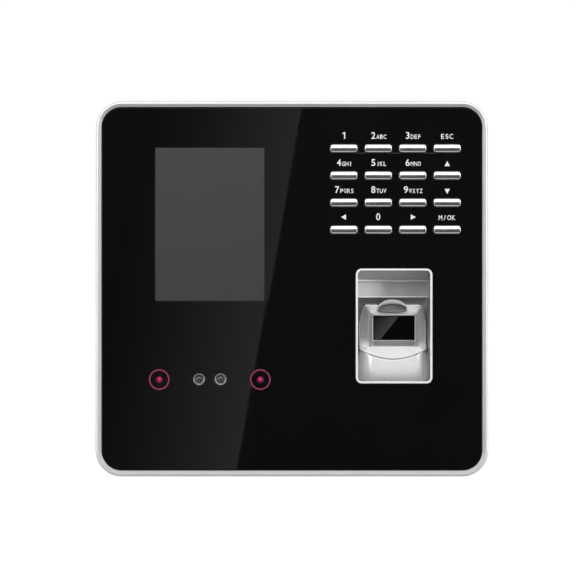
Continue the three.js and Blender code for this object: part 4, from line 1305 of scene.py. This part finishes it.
# Each node's material and the width of its softened edges.
CARRIED = {
    "rear_housing": ("plastic", 0.3),
    "wall_bracket": ("steel", 0.2),
    "lock_screw": ("screw", 0.12),
    "keypad_mat": ("silicone", 0.15),
    "keypad_board": ("board", 0.1),
    "display_glass": ("polariser", 0.1),
    "display_shield": ("steel", 0.1),
    "face_board": ("board", 0.1),
    "sensor_board": ("board", 0.1),
    "mainboard": ("board", 0.1),
    "network_jack": ("nylon", 0.2),
    "terminal_block": ("green", 0.15),
    "power_jack": ("nylon", 0.2),
    "usb_port": ("steel", 0.1),
    "lock_relay": ("relay", 0.3),
    "clock_cell": ("steel", 0.25),
    "tamper_switch": ("nylon", 0.2),
    "tamper_plunger": ("white", 0.12),
    "speaker": ("nylon", 0.3),
    "display_ribbon": ("ribbon", 0.04),
    "camera_ribbon": ("ribbon", 0.04),
    "keypad_ribbon": ("ribbon", 0.04),
    "sensor_cable": ("sheath", 0.1),
    "speaker_lead": ("sheath", 0.05),
    **{name: ("screw", 0.12) for name in CASE_SCREWS},
}


def carry(name, look, edge):
    """Gives a CAD node its material, rounds its edges and smooths its curves."""
    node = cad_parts[name]
    node.data.materials.clear()
    node.data.materials.append(MATERIALS[look])
    flat = node.modifiers.new("merge_flats", "DECIMATE")
    flat.decimate_type = "DISSOLVE"
    flat.angle_limit = math.radians(1.0)
    rounding = node.modifiers.new("soft_edges", "BEVEL")
    rounding.width = edge * MM
    rounding.segments = 2
    rounding.limit_method = "ANGLE"
    rounding.angle_limit = math.radians(CARRIED_SHARP)
    node.data.polygons.foreach_set("use_smooth", [True] * len(node.data.polygons))
    node.data.set_sharp_from_angle(angle=math.radians(CARRIED_SHARP))
    weigh_normals(node)


# ---- studio

CAMERA_DISTANCE = 480.0
VIEW_WIDTH = 221.8
SENSOR_WIDTH = 36.0
AIM_X, AIM_Z = -1.52, 0.31  # the object stands a little right of and below the middle of the view


def add_camera():
    camera = bpy.data.cameras.new("camera")
    camera.sensor_width = SENSOR_WIDTH
    camera.lens = SENSOR_WIDTH * CAMERA_DISTANCE / VIEW_WIDTH
    camera.clip_start = 0.01
    camera.clip_end = 50
    holder = new_object("camera", camera)
    holder.location = (AIM_X * MM, -(body_box.front + CAMERA_DISTANCE) * MM, AIM_Z * MM)
    holder.rotation_euler = (math.radians(90), 0, 0)
    bpy.context.scene.camera = holder


# Name, azimuth to the right and elevation in degrees, distance, width and height in metres, brightness.
SOFTBOXES = (
    ("softbox_top", 0, 42, 0.65, 0.8, 0.5, 1.75),
    ("softbox_right", 58, 8, 0.7, 0.35, 0.6, 3.9),
    ("softbox_left", -55, 8, 0.7, 0.35, 0.6, 3.4),
)


def add_softbox(name, azimuth, elevation, distance, width, height, glow):
    """A rectangular lamp that faces the object, with the brightness that its surface shows."""
    around, up = math.radians(azimuth), math.radians(elevation)
    towards = Vector((math.sin(around) * math.cos(up), -math.cos(around) * math.cos(up), math.sin(up)))
    lamp = bpy.data.lights.new(name, "AREA")
    lamp.shape = "RECTANGLE"
    lamp.size = width
    lamp.size_y = height
    lamp.energy = glow * math.pi * width * height
    holder = new_object(name, lamp)
    holder.location = towards * distance
    holder.rotation_euler = (-towards).to_track_quat("-Z", "Y").to_euler()
    holder.visible_camera = False


# Strength of the room's light by direction, as (from -1 to 1 along the axis, strength) stops.
ROOM_ALONG_Y = ((-0.82, 0.02), (-0.5, 1.0), (0.0, 1.0), (0.35, 0.5))
ROOM_ALONG_Z = ((-0.6, 0.9), (-0.1, 0.9), (0.25, 1.0), (0.8, 0.8))
ROOM_STRENGTH = 0.8
BACKDROP_STRENGTH = 1.05


def add_world():
    """White backdrop all round; what lights the object is dark behind the camera and dim from below."""
    world = bpy.data.worlds.new("studio")
    bpy.context.scene.world = world
    world.use_nodes = True
    nodes = Nodes(world.node_tree)
    nodes.tree.nodes.clear()
    towards = nodes.split(nodes.node("ShaderNodeTexCoord").outputs["Generated"])
    falls = [room_fall(nodes, towards["Y"], ROOM_ALONG_Y), room_fall(nodes, towards["Z"], ROOM_ALONG_Z)]
    room = nodes.node("ShaderNodeBackground")
    strength = nodes.maths("MULTIPLY", nodes.maths("MULTIPLY", *falls), ROOM_STRENGTH)
    nodes.link(strength, room.inputs["Strength"])
    white = nodes.node("ShaderNodeBackground")
    white.inputs["Color"].default_value = (1, 1, 1, 1)
    white.inputs["Strength"].default_value = BACKDROP_STRENGTH
    mix = nodes.node("ShaderNodeMixShader")
    nodes.link(nodes.node("ShaderNodeLightPath").outputs["Is Camera Ray"], mix.inputs["Fac"])
    nodes.link(room.outputs["Background"], mix.inputs[1])
    nodes.link(white.outputs["Background"], mix.inputs[2])
    nodes.link(mix.outputs["Shader"], nodes.node("ShaderNodeOutputWorld").inputs["Surface"])


def room_fall(nodes, value, stops):
    """Brightness that eases from stop to stop along one axis."""
    greys = [((position + 1) / 2, (strength,) * 3) for position, strength in stops]
    return nodes.ramp(nodes.spread(value, 0.0, 1.0, (-1.0, 1.0)), greys, "EASE")


FLOOR_REACH = 6.0  # from the middle to each side, in metres
FLOOR_GAP = 0.2  # under the object


def add_floor():
    """Wide pale floor that glows a little, as a light table does."""
    mesh = bpy.data.meshes.new("floor")
    height = cad_bounds[0].z - FLOOR_GAP * MM
    corners = [(x * FLOOR_REACH, y * FLOOR_REACH, height) for x, y in ((-1, -1), (1, -1), (1, 1), (-1, 1))]
    mesh.from_pydata(corners, [], [(0, 1, 2, 3)])
    floor = new_object("floor", mesh)
    look = Look(
        "floor", Roughness=0.9, Specular_IOR_Level=0.0, Emission_Color=(1, 1, 1, 1), Emission_Strength=1.0
    )
    look.tones(300, 2, (0.8, 0.8, 0.8), (0.84, 0.84, 0.84))
    mesh.materials.append(look.material)
    floor.visible_glossy = False
    floor.visible_diffuse = False


CARD_REACH = 900.0  # from the panel out to the card
CARD_HALF = 90.0  # half the height of the card's reflection
CARD_EDGE = (-25.1, 7.4)  # x of the reflection's bright edge at its bottom and its top
CARD_FADE = 62.0  # width over which the reflection fades to nothing, to the left of that edge
CARD_GLOW = 0.37
CARD_EASE = 1.6  # power of the fade


def add_gloss_card():
    """A lit card behind the camera, seen only as the slanted reflection on the panel's left half."""
    to_camera = CAMERA_DISTANCE + body_box.front - panel_box.front
    spread = (to_camera + CARD_REACH) / to_camera
    low_edge, high_edge = CARD_EDGE

    def mirrored(x, z):
        return (
            (AIM_X + (x - AIM_X) * spread) * MM,
            -(panel_box.front + CARD_REACH) * MM,
            (AIM_Z + (z - AIM_Z) * spread) * MM,
        )

    corners = [
        mirrored(low_edge - CARD_FADE, -CARD_HALF),
        mirrored(low_edge, -CARD_HALF),
        mirrored(high_edge, CARD_HALF),
        mirrored(high_edge - CARD_FADE, CARD_HALF),
    ]
    mesh = bpy.data.meshes.new("gloss_card")
    mesh.from_pydata(corners, [], [(0, 1, 2, 3)])
    layer = mesh.uv_layers.new(name="across")
    for loop, corner in zip(layer.data, ((0, 0), (1, 0), (1, 1), (0, 1))):
        loop.uv = corner
    mesh.materials.append(card_glow())
    card = new_object("gloss_card", mesh)
    card.visible_camera = False
    card.visible_diffuse = False
    card.visible_shadow = False
    card.visible_transmission = False


def card_glow():
    """Light that rises across the card to its bright edge."""
    material = bpy.data.materials.new("gloss_card")
    material.use_nodes = True
    nodes = Nodes(material.node_tree)
    nodes.tree.nodes.clear()
    across = nodes.split(nodes.node("ShaderNodeTexCoord").outputs["UV"])["X"]
    glow = nodes.node("ShaderNodeEmission")
    strength = nodes.maths("MULTIPLY", nodes.maths("POWER", across, CARD_EASE), CARD_GLOW)
    nodes.link(strength, glow.inputs["Strength"])
    nodes.link(glow.outputs["Emission"], nodes.node("ShaderNodeOutputMaterial").inputs["Surface"])
    return material


def add_studio():
    add_camera()
    add_world()
    add_floor()
    add_gloss_card()
    for softbox in SOFTBOXES:
        add_softbox(*softbox)
    view = bpy.context.scene.view_settings
    view.view_transform = "Standard"
    view.look = "None"


# ---- everything

front_housing()
front_panel()
display_window()
for key_name in KEY_NAMES:
    key(key_name)
key_legends()
lamp_rings()
for lens_name in LENSES:
    camera_unit(lens_name)
for lamp_name in LAMPS:
    lamp_unit(lamp_name)
finger_bay()
sensor_housing()
sensor_prism()
for node_name, (look_name, edge_width) in CARRIED.items():
    carry(node_name, look_name, edge_width)
add_studio()
